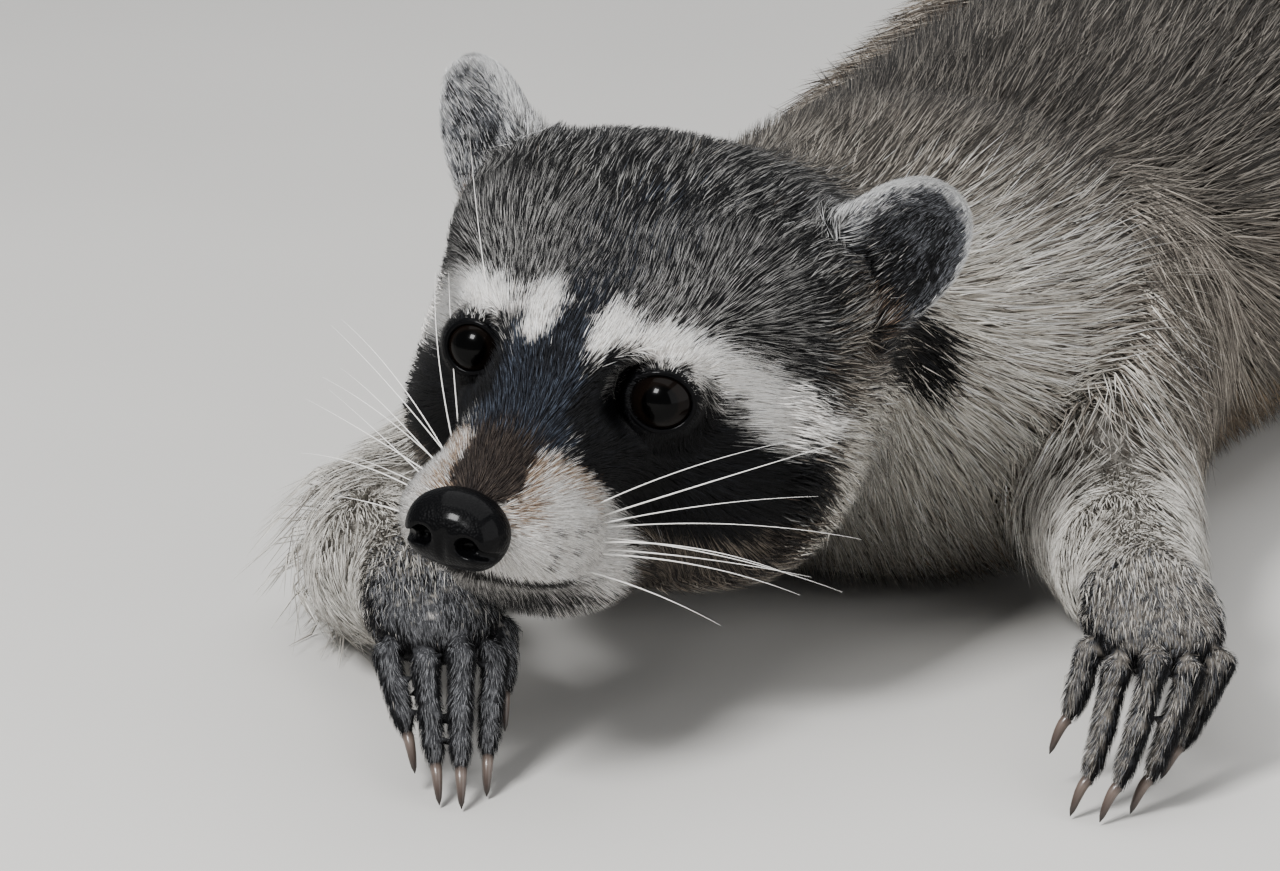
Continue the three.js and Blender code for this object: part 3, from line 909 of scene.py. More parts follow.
class Hair(Enum):
    """The kinds of hair, with display colours."""

    CROWN = Pelt((12, 12, 13), (22, 22, 23), (15, 15, 17), (190, 188, 184), 0.31)
    STRIPE = Pelt((8, 8, 10), (15, 16, 20), (22, 24, 30), (84, 90, 102), 0.2)
    BROW = Pelt((168, 162, 156), (240, 236, 231), (254, 253, 250), (226, 221, 214), 0.16, 0.04)
    MASK = Pelt((4, 4, 5), (8, 8, 9), (13, 13, 15), (38, 40, 46), 0.1)
    SLATE = Pelt((7, 7, 9), (17, 19, 24), (30, 33, 41), (78, 86, 100), 0.24)
    BRIDGE = Pelt((16, 13, 12), (34, 28, 26), (48, 40, 36), (84, 74, 66), 0.26)
    TAN = Pelt((92, 76, 64), (150, 130, 112), (186, 166, 146), (118, 98, 82), 0.32)
    MUZZLE = Pelt((168, 163, 158), (224, 221, 216), (248, 246, 243), (196, 191, 186), 0.3, 0.06)
    SPOT = Pelt((60, 58, 58), (98, 96, 96), (124, 122, 120), (160, 156, 150), 0.3)
    LIP = Pelt((5, 5, 5), (10, 9, 9), (16, 14, 14), (40, 36, 34), 0.1)
    CHIN = Pelt((26, 25, 25), (96, 94, 92), (190, 187, 183), (46, 44, 43), 0.42)
    CHEEK = Pelt((12, 10, 10), (32, 27, 25), (22, 19, 18), (150, 138, 124), 0.3)
    TEMPLE = Pelt((32, 29, 27), (78, 71, 64), (38, 35, 32), (198, 190, 178), 0.44)
    # The ruff is pale cream of its own; its colours are lightened further as painted light where the head
    # shades the neck and cheeks.
    RUFF = Pelt((140, 133, 122), (214, 208, 197), (242, 238, 230), (136, 128, 118), 0.22)
    NAPE = Pelt((52, 49, 46), (102, 96, 88), (42, 40, 38), (196, 188, 176), 0.44)
    BACK = Pelt((46, 43, 40), (84, 79, 73), (26, 25, 25), (160, 153, 143), 0.4)
    FLANK = Pelt((72, 67, 61), (122, 114, 105), (62, 58, 54), (184, 176, 164), 0.42)
    BELLY = Pelt((88, 74, 60), (140, 122, 102), (164, 146, 124), (90, 78, 66), 0.3)
    RING = Pelt((14, 12, 11), (24, 20, 18), (20, 17, 16), (60, 50, 42), 0.14)
    BETWEEN = Pelt((84, 70, 56), (148, 128, 104), (172, 150, 122), (84, 70, 58), 0.3)
    ARM = Pelt((124, 119, 112), (186, 182, 174), (226, 223, 217), (150, 145, 137), 0.3, 0.08)
    LEG = Pelt((40, 34, 30), (78, 67, 58), (46, 40, 36), (150, 136, 118), 0.34)
    PAW = Pelt((40, 40, 42), (84, 85, 88), (160, 161, 164), (40, 40, 43), 0.3, 0.13)
    PALE_PAW = Pelt((66, 61, 56), (144, 138, 130), (216, 211, 203), (82, 77, 71), 0.34)
    DARK_PAW = Pelt((6, 6, 7), (12, 12, 14), (22, 22, 25), (96, 97, 101), 0.12)
    EAR_RIM = Pelt((110, 109, 108), (188, 188, 187), (232, 232, 231), (170, 170, 170), 0.3, 0.07)
    EAR_GREY = Pelt((18, 18, 19), (50, 51, 54), (124, 126, 131), (40, 40, 43), 0.4)
    EAR_DARK = Pelt((3, 3, 4), (6, 6, 7), (12, 12, 13), (44, 44, 47), 0.1)
    EAR_BROWN = Pelt((26, 20, 17), (62, 50, 42), (92, 76, 64), (150, 132, 114), 0.3)


KINDS: tuple[Hair, ...] = tuple(Hair)
KIND_OF: dict[Hair, int] = {kind: n for n, kind in enumerate(KINDS)}
PALETTE: Array = np.array(
    [[srgb(*row) for row in (k.value.root, k.value.middle, k.value.tip, k.value.other)] for k in KINDS]
)


@dataclass(frozen=True)
class Band:
    """A marking on the head: a rounded band through a few places, mirrored left to right."""

    line: tuple[Point, ...]
    radii: tuple[float, ...]
    soft: float = 2.4
    ragged: float = 0.9

    def share(self, q: Array) -> Array:
        """Say how surely each point of the head's frame lies in the band."""
        folded = np.column_stack([np.abs(q[:, 0]), q[:, 1], q[:, 2]])
        if len(self.line) == 1:
            distance = np.linalg.norm(folded - np.array(self.line[0]), axis=1) - self.radii[0]
        else:
            lengths = [bar(*ends)(folded) for ends in chain(self.line, self.radii)]
            distance = np.min(lengths, axis=0)
        distance = distance + self.ragged * ripple(q, 5.0, 41)
        return ramp(distance, self.soft / 2.0, -self.soft / 2.0)


@dataclass
class Markings:
    """Which kind of hair grows where."""

    build: Anatomy
    brow: Band = Band(
        ((18.5, -6, 13.4), (22.5, -2, 13.6), (28, 1.5, 12.4), (33, 6, 9.4), (38, 12.5, 6))
        + ((43, 17, 1.5), (47.5, 22.6, -1.2), (52, 32.6, -4), (54, 49, -8)),
        (3.4, 4.8, 4.3, 4.7, 5.3, 6.8, 8.4, 7.6, 3.0),
        5.2,
    )
    inner_brow: Band = Band(
        ((7.8, -13.2, 11.2), (8.8, -8.6, 16.0), (10.0, -6.0, 18.6)), (2.6, 4.4, 3.2), 5.6
    )
    brow_gap: Band = Band(((12.5, -8.5, 14.5), (16.0, -6.0, 14.5)), (3.2, 3.4), 4.0)
    mask: Band = Band(
        ((22, -7, -2), (29, -1, -9), (38, 8, -16), (46, 20, -20), (51, 33, -19), (54, 43, -19)),
        (10.8, 11.0, 11.0, 9.6, 7.2, 4.0),
        2.6,
    )
    low_mask: Band = Band(
        ((18, -16, -12), (20, -3, -21), (25, 8, -27), (34, 13, -26), (44, 19, -23), (52, 31, -19)),
        (6.5, 7.5, 7.0, 6.8, 6.4, 5.0),
        2.6,
    )
    ear_foot: Band = Band(((51, 64, 15), (47, 88, 7), (48, 106, -1)), (9.0, 11.0, 9.0), 6.0)
    mask_inner: Band = Band(((15, -12, 5), (15, -16, -4)), (4.6, 7.0), 2.6)
    slate: Band = Band(((0, -12, 8), (0, -18, -4), (0, -27, -12)), (9.0, 14.0, 11.0), 6.0)
    muzzle_y: tuple[float, ...] = (-44.0, -36.0, -28.5, -22.7, -15.0, -1.7, 5.2, 8.5)
    muzzle_z: tuple[float, ...] = (-22.0, -19.5, -12.0, -14.6, -19.4, -26.0, -29.6, -34.0)
    part: float = 3.4
    mouth: float = -40.4
    whisker_rows: tuple[tuple[float, float, float, int], ...] = (
        (-33.0, -8.0, -27.0, 5),
        (-34.0, -9.0, -31.0, 5),
        (-34.0, -12.0, -35.0, 4),
    )
    tail_rings: tuple[float, ...] = (0.24, 0.38, 0.52, 0.66, 0.8)
    ring_half: float = 0.034
    ring_soft: float = 0.012

    def kinds(self, points: Array, normals: Array, shares: Array, seed: int) -> Array:
        """Choose the kind of hair at each point.

        Args:
            points: on the skin, in the figure's frame.
            normals: the skin's normals there.
            shares: the members' shares.
            seed: fixes the choice where kinds mix.

        Returns:
            The number of each point's kind.
        """
        rng = np.random.default_rng(seed)
        dice = rng.random((len(points), 16))
        pick = (shares.cumsum(1) < rng.random((len(points), 1))).sum(1)
        pick = np.minimum(pick, len(self.build.members) - 1)
        region = np.array([member.region.value for member in self.build.members])[pick]
        q = self.build.head.own(points)
        lies = np.array([np.zeros(3) if m.lie is None else m.lie for m in self.build.members])[pick]
        facing = (normals * unit(np.array([0.0, 0.0, 1.0]) - lies * lies[:, 2:])).sum(1)
        chosen = np.zeros(len(points), int)
        for part, paint_part in (
            (Region.HEAD, lambda m: self._head(q[m], dice[m])),
            (Region.EAR, lambda m: self._ear(q[m], dice[m])),
            (Region.NECK, lambda m: self._neck(q[m], normals[m], dice[m])),
            (Region.TRUNK, lambda m: self._trunk(points[m], normals[m], dice[m])),
            (Region.TAIL, lambda m: self._tail(points[m], dice[m])),
            (Region.ARM, lambda m: self._arm(points[m], dice[m])),
            (Region.HAND, lambda m: self._paw(points[m], facing[m], dice[m], 0.55)),
            (Region.FINGER, lambda m: self._paw(points[m], facing[m], dice[m], 0.72)),
            (Region.LEG, lambda m: self._leg(points[m], dice[m])),
            (Region.FOOT, lambda m: self._paw(points[m], facing[m], dice[m], 0.7)),
            (Region.TOE, lambda m: self._paw(points[m], facing[m], dice[m], 0.6)),
        ):
            mine = region == part.value
            if mine.any():
                chosen[mine] = paint_part(mine)
        return chosen

    @staticmethod
    def _lay(base: Hair, layers: Sequence[tuple[Hair, Array]], dice: Array) -> Array:
        """Lay kinds over a base kind, each where its share beats the dice."""
        kinds = np.full(len(dice), KIND_OF[base])
        for n, (hair, share) in enumerate(layers):
            kinds = np.where(dice[:, n % dice.shape[1]] < share, KIND_OF[hair], kinds)
        return kinds

    def _head(self, q: Array, dice: Array) -> Array:
        """Mark the head, from points in its own frame."""
        x, y, z = np.abs(q[:, 0]), q[:, 1], q[:, 2]
        top = np.interp(y, self.muzzle_y, self.muzzle_z)
        top = top - 7.0 * ramp(x, 10.0, 3.0) * ramp(y, -22.0, -32.0)
        muzzle = ramp(z, top + 2.8, top - 2.6) * ramp(y, 13.0, 1.0)
        tan = muzzle * ramp(z, top - 8.5, top - 0.5) * ramp(y, -6.0, -20.0) * 0.8
        bridge = ramp(x, 13.0, 8.0) * ramp(y, -24.0, -31.0)
        lip = ramp(np.abs(z - self.mouth), 2.0, 0.8) * ramp(y, -12.0, -24.0)
        chin = ramp(z, self.mouth - 0.8, self.mouth - 1.8) * ramp(y, 2.0, -14.0)
        # Painted shade: near-black hair under the chin and jaw, where the head rests on the wrist.
        under = ramp(z, -45.0, -48.0) * ramp(y, 16.0, -6.0)
        middle = np.abs(q[:, 0] - self.part)
        rise = np.maximum(z - 15.0, 0.0)
        stripe = ramp(middle, 7.0 + 0.7 * rise, 2.6) * ramp(z, 1.0, 7.0)
        stripe = stripe * (1.0 - 0.6 * ramp(z, 16.0, 26.0)) * ramp(y, 52.0, 22.0)
        around = q - (self.part, 0.0, 0.0)
        masks = (self.mask, self.low_mask, self.mask_inner)
        layers = [
            (Hair.TEMPLE, ramp(y, 28.0, 48.0) * ramp(x, 28.0, 42.0) * ramp(z, 34.0, 14.0) * 0.85),
            (Hair.CHEEK, ramp(y, 2.0, 14.0) * ramp(z, -22.0, -30.0)),
            (Hair.RUFF, ramp(y, 38.0, 52.0) * ramp(z, 8.0, -6.0) * ramp(z, -44.0, -34.0) * 0.85),
            (Hair.TEMPLE, ramp(y, 30.0, 50.0) * ramp(z, -34.0, -44.0) * 0.8),
            (Hair.SLATE, self.slate.share(q)),
            (Hair.STRIPE, stripe),
            (Hair.MASK, np.max([band.share(q) for band in masks], axis=0)),
            (Hair.BRIDGE, bridge),
            (Hair.MUZZLE, muzzle),
            (Hair.TAN, tan),
            (Hair.BROW, self.brow.share(q)),
            (Hair.BROW, self.brow_gap.share(q) * 0.6),
            (Hair.BROW, self.inner_brow.share(around)),
            (Hair.SPOT, self._spots(x, y, z)),
            (Hair.CHIN, chin),
            (Hair.LIP, lip),
            # Painted shade under the chin.
            (Hair.MASK, under * 0.7),
            (Hair.MASK, self.ear_foot.share(q) * 0.8),
        ]
        return self._lay(Hair.CROWN, layers, dice)

    def _spots(self, x: Array, y: Array, z: Array) -> Array:
        """Darken the hair round the roots of the whiskers."""
        total = np.zeros(len(x))
        for front, rear, height, count in self.whisker_rows:
            for place in np.linspace(front, rear, count):
                near = np.hypot(y - place, (z - height) * 1.2)
                total = np.maximum(total, ramp(near, 2.0, 0.8))
        return total * (x > 8.0) * 0.55

    def _ear(self, q: Array, dice: Array) -> Array:
        """Mark the ears: dark in the cup as painted shade, deeper in the left ear than the right, pale on the
        rim, brown low down behind, and the right ear's front paler as painted light.
        """
        head = self.build.head
        kinds = np.zeros(len(q), int)
        for side, x in SIDES.items():
            mine = q[:, 0] * x > 0
            e = head.ear_own(side, q[mine]) / np.array(head.ear_half)
            radius = np.hypot(e[:, 0], e[:, 2])
            front = ramp(e[:, 1], 0.35, 0.0)
            # Painted shade: the left ear's cup is darkened far more than the right ear's.
            depth = 0.95 if x > 0 else 0.4
            cup = np.hypot(e[:, 0] * 1.1 - 0.12 * x, e[:, 2] + 0.12)
            layers = [
                (Hair.EAR_DARK, ramp(cup, 0.98, 0.42) * front * depth),
                (Hair.EAR_BROWN, ramp(e[:, 2], -0.25, -0.6) * 0.7),
                (Hair.EAR_DARK, (1.0 - front) * ramp(e[:, 2], 0.35, -0.1)),
                (Hair.EAR_RIM, ramp(radius, 0.82, 0.98) * ramp(e[:, 2], -0.6, -0.1)),
                # Painted light: only the front of the right ear is paled.
                (Hair.EAR_RIM, front * (0.3 if x < 0 else 0.0)),
                (Hair.EAR_RIM, ramp(e[:, 0] * x, -0.2, -0.7) * ramp(radius, 0.45, 0.8) * front * 0.45),
            ]
            kinds[mine] = self._lay(Hair.EAR_GREY, layers, dice[mine])
        return kinds

    def _neck(self, q: Array, normals: Array, dice: Array) -> Array:
        """Mark the neck: pale at the cheeks, darker over the nape."""
        layers = [
            (Hair.RUFF, ramp(normals[:, 2], 0.92, 0.55) * 0.92),
            (Hair.FLANK, ramp(q[:, 1], 125.0, 165.0) * 0.5),
            (Hair.MASK, self.ear_foot.share(q) * 0.9),
        ]
        return self._lay(Hair.NAPE, layers, dice)

    def _trunk(self, p: Array, normals: Array, dice: Array) -> Array:
        """Mark the trunk: dark along the back, paler down the flanks."""
        layers = [
            (Hair.BACK, ramp(normals[:, 2], 0.35, 0.85)),
            (Hair.BELLY, ramp(normals[:, 2], -0.1, -0.5)),
            (Hair.RUFF, ramp(p[:, 1], 205.0, 140.0) * ramp(normals[:, 2], 0.9, 0.45) * 0.85),
        ]
        return self._lay(Hair.FLANK, layers, dice)

    def _tail(self, p: Array, dice: Array) -> Array:
        """Ring the tail, with a dark tip."""
        line = self.build.tail_points
        share = np.zeros(len(p))
        best = np.full(len(p), np.inf)
        for n, (a, b) in enumerate(zip(line[:-1], line[1:])):
            t = np.clip((p - a) @ (b - a) / float((b - a) @ (b - a)), 0.0, 1.0)
            gap = np.linalg.norm(p - a - t[:, None] * (b - a), axis=1)
            nearer = gap < best
            best = np.where(nearer, gap, best)
            share = np.where(nearer, (n + t) / (len(line) - 1), share)
        edges = (self.ring_half + self.ring_soft, self.ring_half - self.ring_soft)
        ring = np.max([ramp(np.abs(share - at), *edges) for at in self.tail_rings], 0)
        ring = np.maximum(ring, ramp(share, 0.9, 0.93))
        layers = [(Hair.RING, ring), (Hair.BACK, ramp(share, 0.16, 0.06))]
        return self._lay(Hair.BETWEEN, layers, dice)

    def _arm(self, p: Array, dice: Array) -> Array:
        """Mark the arms: grizzled at the shoulder, pale and soft towards the wrist."""
        low = ramp(p[:, 1], 175.0, 120.0)
        layers = [(Hair.FLANK, 1.0 - low), (Hair.PALE_PAW, low * 0.14)]
        return self._lay(Hair.ARM, layers, dice)

    def _leg(self, p: Array, dice: Array) -> Array:
        """Mark the hind legs: like the flanks above, darker below."""
        layers = [(Hair.FLANK, ramp(p[:, 2], 40.0, 75.0) * 0.7)]
        return self._lay(Hair.LEG, layers, dice)

    def _paw(self, p: Array, facing: Array, dice: Array, pale: float) -> Array:
        """Mark hands and feet: pale along the tops of the digits, dark between them and at their ends. The
        dark wherever they do not face up is partly their own dark skin and partly painted shade between them,
        and the paws on the left side get paler tops than those on the right as painted light.
        """
        # Painted shade in part: the digits stay dark wherever they do not face up.
        top = ramp(facing, pale - 0.18, pale + 0.16)
        layers = [
            (Hair.PAW, top * 0.96),
            # Painted light: only the paws on the left side, beyond about x 60 to 90 mm, get these paler tops.
            (Hair.PALE_PAW, top * ramp(p[:, 0], 60.0, 90.0) * 0.6),
            (Hair.DARK_PAW, ramp(p[:, 2], 8.5, 4.5) * 0.85),
        ]
        return self._lay(Hair.DARK_PAW, layers, dice)

    @staticmethod
    def colours(kinds: Array, seed: int) -> Array:
        """Give each hair its root, middle and tip colours.

        Args:
            kinds: the number of each hair's kind.
            seed: fixes the spread.

        Returns:
            Linear colours, hairs by three by three.
        """
        rng = np.random.default_rng(seed)
        share = np.array([kind.value.share for kind in KINDS])[kinds]
        spread = np.array([kind.value.spread for kind in KINDS])[kinds]
        rows = PALETTE[kinds][:, :3].copy()
        other = rng.random(len(kinds)) < share
        rows[other, 2] = PALETTE[kinds][other, 3]
        rows[other, 1] = rows[other, 1] * 0.68 + rows[other, 2] * 0.32
        light = np.exp(rng.normal(size=len(kinds)) * spread * 1.6)
        return np.clip(rows * light[:, None, None], 0.0, 0.98)

    def under(self, kinds: Array) -> Array:
        """Give the skin's colour under each kind of hair, mixed from its root and middle colours, so it
        carries the roots' painted shade.
        """
        return PALETTE[kinds][:, 0] * 0.45 + PALETTE[kinds][:, 1] * 0.35


# ------------------------------------------------------------------------------- the unwrap
@dataclass
class Unwrap:
    """An unwrap of the skin: six faces for each group of regions, laid out in rows."""

    rows: tuple[tuple[tuple[Region, ...], float], ...] = (
        ((Region.HEAD, Region.EAR), 0.34),
        ((Region.TRUNK, Region.NECK), 0.28),
        ((Region.ARM, Region.HAND, Region.FINGER), 0.16),
        ((Region.LEG, Region.FOOT, Region.TOE), 0.12),
        ((Region.TAIL,), 0.1),
    )
    margin: float = 0.006

    def fit(self, points: Array, normals: Array, region: Array) -> None:
        """Measure each face of each group, to fill its cell.

        Args:
            points: the skin's vertices.
            normals: their normals.
            region: their regions' numbers.
        """
        group, face = self._group(region), self._face(normals)
        self.low = np.zeros((len(self.rows), 6, 2))
        self.span = np.ones((len(self.rows), 6, 2))
        for g in range(len(self.rows)):
            for f in range(6):
                mine = (group == g) & (face == f)
                if mine.any():
                    flat = self._flat(points[mine], face[mine])
                    self.low[g, f] = flat.min(0)
                    self.span[g, f] = np.maximum(np.ptp(flat, axis=0), 1.0)

    def _group(self, region: Array) -> Array:
        """Give the row of each region."""
        lookup = np.zeros(len(Region), int)
        for n, (members, _) in enumerate(self.rows):
            for member in members:
                lookup[member.value] = n
        return lookup[region]

    @staticmethod
    def _face(normals: Array) -> Array:
        """Say which of the six faces a normal looks out of."""
        axis = np.abs(normals).argmax(1)
        return axis * 2 + (normals[np.arange(len(normals)), axis] > 0)

    @staticmethod
    def _flat(points: Array, face: Array) -> Array:
        """Drop the axis that a face looks along."""
        axis = face // 2
        first = np.where(axis == 0, points[:, 1], points[:, 0])
        second = np.where(axis == 2, points[:, 1], points[:, 2])
        return np.column_stack([first, second])

    def place(self, points: Array, normals: Array, region: Array) -> Array:
        """Give each point its place on the map."""
        group, face = self._group(region), self._face(normals)
        heights = np.array([height for _, height in self.rows])
        start = np.concatenate([[0.0], np.cumsum(heights)[:-1]])
        share = (self._flat(points, face) - self.low[group, face]) / self.span[group, face]
        share = np.clip(share, 0.0, 1.0)
        u = (face + self.margin * 6 + share[:, 0] * (1 - self.margin * 12)) / 6.0
        v = start[group] + self.margin + share[:, 1] * (heights[group] - 2 * self.margin)
        return np.column_stack([u, v])


# ------------------------------------------------------------------------------- skin
@dataclass
class Skin:
    """One skin over the whole animal, under the coat."""

    build: Anatomy
    lie: Lie
    markings: Markings
    unwrap: Unwrap
    shift: Array
    cell: float = 1.9
    head_cell: float = 1.55
    body_cell: float = 4.4
    low: Point = (-84.0, -56.0, -4.0)
    high: Point = (214.0, 686.0, 156.0)
    name: str = "skin"
    paired: tuple[str, ...] = ("ear", "hand", "forearm", "upper_arm", "foot", "shank", "thigh")

    def nodes(self) -> list[str]:
        """Name the solids that the skin stands for."""
        middle = ["head", "neck", "trunk", *(f"tail_{n}" for n in range(1, 5))]
        return middle + [f"{part}_{side}" for part in self.paired for side in SIDES]

    def _lines(self) -> list[Array]:
        """Lay the grid's planes, close over the head and hands and wider over the body."""
        rough = 1.0
        x = np.arange(self.low[0], self.high[0], self.cell * rough)
        z = np.arange(self.low[2], self.high[2], self.cell * rough)
        y = [self.low[1]]
        while y[-1] < self.high[1]:
            share = float(ramp(np.array([y[-1]]), 70.0, 170.0)[0])
            y.append(y[-1] + rough * (self.head_cell + (self.body_cell - self.head_cell) * share))
        return [x, np.array(y), z]

    def build_mesh(self) -> bpy.types.Object:
        """Mesh the skin, colour it and dress it.

        Returns:
            The skin.
        """
        vertices, quads = closed_surface(self.build.skin, self._lines())
        normals = unit(slope_of(self.build.skin, vertices))
        shares = self.build.shares(vertices)
        self.region = np.array([m.region.value for m in self.build.members])[shares.argmax(1)]
        self.vertices, self.normals, self.shares = vertices, normals, shares
        self.triangles = np.vstack([quads[:, [0, 1, 2]], quads[:, [0, 2, 3]]])
        self.unwrap.fit(vertices, normals, self.region)
        made = mesh_object(self.name, vertices, quads, self.shift)
        kinds = self.markings.kinds(vertices, normals, shares, 11)
        paint(made, "Coat", self.markings.under(kinds))
        map_uv(made, self.unwrap.place(vertices, normals, self.region))
        made.data.materials.append(HIDE_FINISH.material())
        return made


# ------------------------------------------------------------------------------- coat
@dataclass(frozen=True)
class Tuft:
    """How a tuft's vertices take its three colours, lie across and along it, and are joined."""

    tones: tuple[int, ...]
    places: tuple[tuple[float, float], ...]
    faces: tuple[tuple[int, int, int], ...]


BENT = Tuft(
    tones=(0, 1, 1, 1, 2),
    places=((0.5, 0), (0, 0.4), (1, 0.4), (0.5, 0.4), (0.5, 1)),
    faces=((1, 2, 0), (2, 3, 0), (3, 1, 0), (2, 1, 4), (3, 2, 4), (1, 3, 4)),
)
STRAIGHT = Tuft(
    tones=(0, 0, 0, 2),
    places=((0, 0), (1, 0), (0.5, 0), (0.5, 1)),
    faces=((0, 1, 2), (0, 3, 1), (1, 3, 2), (2, 3, 0)),
)


@dataclass
class CoatPiece:
    """One piece of the coat: hairs of one manner over a stretch of the body."""

    name: str
    regions: tuple[Region, ...]
    length: tuple[float, float]
    width: tuple[float, float]
    cover: float
    most: int
    tuft: Tuft = BENT
    where: Callable[[Array, Array], Array] | None = None
    lift: float = 0.95
    seed: int = 1
    slot: str = "coat"


@dataclass
class Coat:
    """The whole coat, grown piece by piece from the skin."""

    skin: Skin
    patch: float = 0.003
    uneven_length: tuple[float, float] = (0.72, 1.15)
    uneven_width: tuple[float, float] = (0.75, 1.2)
    uneven_height: tuple[float, float] = (0.72, 1.06)
    thick: float = 0.45
    sunk: float = 0.35
    bend_at: float = 0.4
    bend_height: float = 0.74
    sway: float = 0.035
    depths: tuple[float, float] = (0.5, 30.0)

    def roots(self, piece: CoatPiece) -> tuple[Array, Array]:
        """Scatter the roots of one piece over the skin.

        Args:
            piece: what to grow.

        Returns:
            The roots and the coat's depth at each.
        """
        skin, build = self.skin, self.skin.build
        corners = skin.vertices[skin.triangles]
        edges = corners[:, 1:] - corners[:, :1]
        area = np.linalg.norm(np.cross(edges[:, 0], edges[:, 1]), axis=1) / 2
        middle = corners.mean(1)
        lookup = np.array([member.region in piece.regions for member in build.members], float)
        owned = (skin.shares @ lookup)[skin.triangles].mean(1)
        if piece.where is not None:
            owned = owned * piece.where(middle, build.head.own(middle))
        depth = np.clip(-build.tips(skin.vertices), *self.depths)[skin.triangles].mean(1)
        length = piece.length[0] + piece.length[1] * depth
        width = piece.width[0] + piece.width[1] * length
        thin = 1.0
        wanted = area * owned * piece.cover * thin / (0.5 * width * length)
        total = min(wanted.sum(), piece.most * thin / len(piece.tuft.faces))
        rng = np.random.default_rng(piece.seed)
        LOG.info("%s wants %d hairs, has %d", piece.name, int(wanted.sum()), int(total))
        chosen = rng.choice(len(area), int(total), p=wanted / wanted.sum())
        a, b = rng.random((2, len(chosen)))
        turned = a + b > 1
        a[turned], b[turned] = 1 - a[turned], 1 - b[turned]
        c = corners[chosen]
        points = c[:, 0] + a[:, None] * (c[:, 1] - c[:, 0]) + b[:, None] * (c[:, 2] - c[:, 0])
        points = drawn_to(build.skin, points, rounds=1, reach=1.0)
        return points, np.clip(-build.tips(points), *self.depths)

    def grow(self, piece: CoatPiece) -> bpy.types.Object:
        """Grow one piece of the coat.

        Args:
            piece: what to grow.

        Returns:
            The finished piece.
        """
        skin, build = self.skin, self.skin.build
        points, depth = self.roots(piece)
        normals = unit(slope_of(build.skin, points))
        shares = build.shares(points)
        lie = skin.lie.of(points, normals, shares, piece.seed * 7)
        rng = np.random.default_rng(piece.seed * 13)
        count = len(points)
        length = (piece.length[0] + piece.length[1] * depth) * rng.uniform(*self.uneven_length, count)
        width = (piece.width[0] + piece.width[1] * length) * rng.uniform(*self.uneven_width, count)
        height = depth * piece.lift * rng.uniform(*self.uneven_height, count)
        tip = drawn_to(build.skin, points + lie * length[:, None], height, 2)
        seen = points * 0.4 + tip * 0.6
        kinds = skin.markings.kinds(seen, normals, shares, piece.seed * 17)
        tone = skin.markings.colours(kinds, piece.seed * 19)
        region = np.array([m.region.value for m in build.members])[shares.argmax(1)]
        place = skin.unwrap.place(points, normals, region)
        side = unit(np.cross(lie, normals))
        root = points - normals * self.sunk
        half, thick = side * (width / 2)[:, None], normals * (width * self.thick)[:, None]
        if piece.tuft is BENT:
            middle = points + lie * (length * self.bend_at)[:, None]
            middle = drawn_to(build.skin, middle, height * self.bend_height, 1)
            middle = middle + side * (rng.normal(size=count) * length * self.sway)[:, None]
            rings = [root, middle - half, middle + half, middle + thick, tip]
        else:
            rings = [root - half, root + half, root + thick, tip]
            tone[:, 0] = tone[:, 0] * 0.4 + tone[:, 1] * 0.6
        each = len(rings)
        vertices = np.stack(rings, 1).reshape(-1, 3)
        faces = (np.array(piece.tuft.faces) + each * np.arange(count)[:, None, None]).reshape(-1, 3)
        floor = build.sole_height + 0.02 * np.tile(np.arange(each), count)
        vertices[:, 2] = np.maximum(vertices[:, 2], floor)
        made = mesh_object(piece.name, vertices, faces, skin.shift)
        paint(made, "Coat", tone[:, piece.tuft.tones].reshape(-1, 3))
        along = np.array(piece.tuft.places)
        ident = np.repeat(rng.random(count) * 50.0, each)
        across = np.tile(along[:, 0], count)
        strand = [across * np.repeat(width, each), np.tile(along[:, 1], count), ident]
        note(made, "Strand", np.column_stack(strand))
        patch = (along - 0.5) * self.patch
        map_uv(made, np.repeat(place, each, axis=0) + np.tile(patch, (count, 1)))
        made.data.materials.append(FUR_FINISH.material())
        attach(made, BODY)
        LOG.info("%s: %d hairs, %d triangles", piece.name, count, len(faces))
        return made


# ------------------------------------------------------------------------------- finishes
def socket(
    tree: bpy.types.NodeTree, name: str, kind: str, out: bool = False, default: float | None = None
) -> None:
    """Add one named socket to a group."""
    made = tree.interface.new_socket(name=name, in_out="OUTPUT" if out else "INPUT", socket_type=kind)
    if default is not None:
        made.default_value = default


def add(tree: bpy.types.NodeTree, kind: str, values: dict[str, object] | None = None) -> bpy.types.Node:
    """Add a node with some of its inputs set."""
    node = tree.nodes.new(kind)
    settle(node, values or {})
    return node


def settle(node: bpy.types.Node, values: dict[str, object]) -> None:
    """Set some of a node's inputs."""
    for name, value in values.items():
        node.inputs[name].default_value = value


def wire(tree: bpy.types.NodeTree, *links: Link) -> None:
    """Join sockets: each link is a node, its output, a node and its input."""
    for source, given, target, taken in links:
        tree.links.new(source.outputs[given], target.inputs[taken])


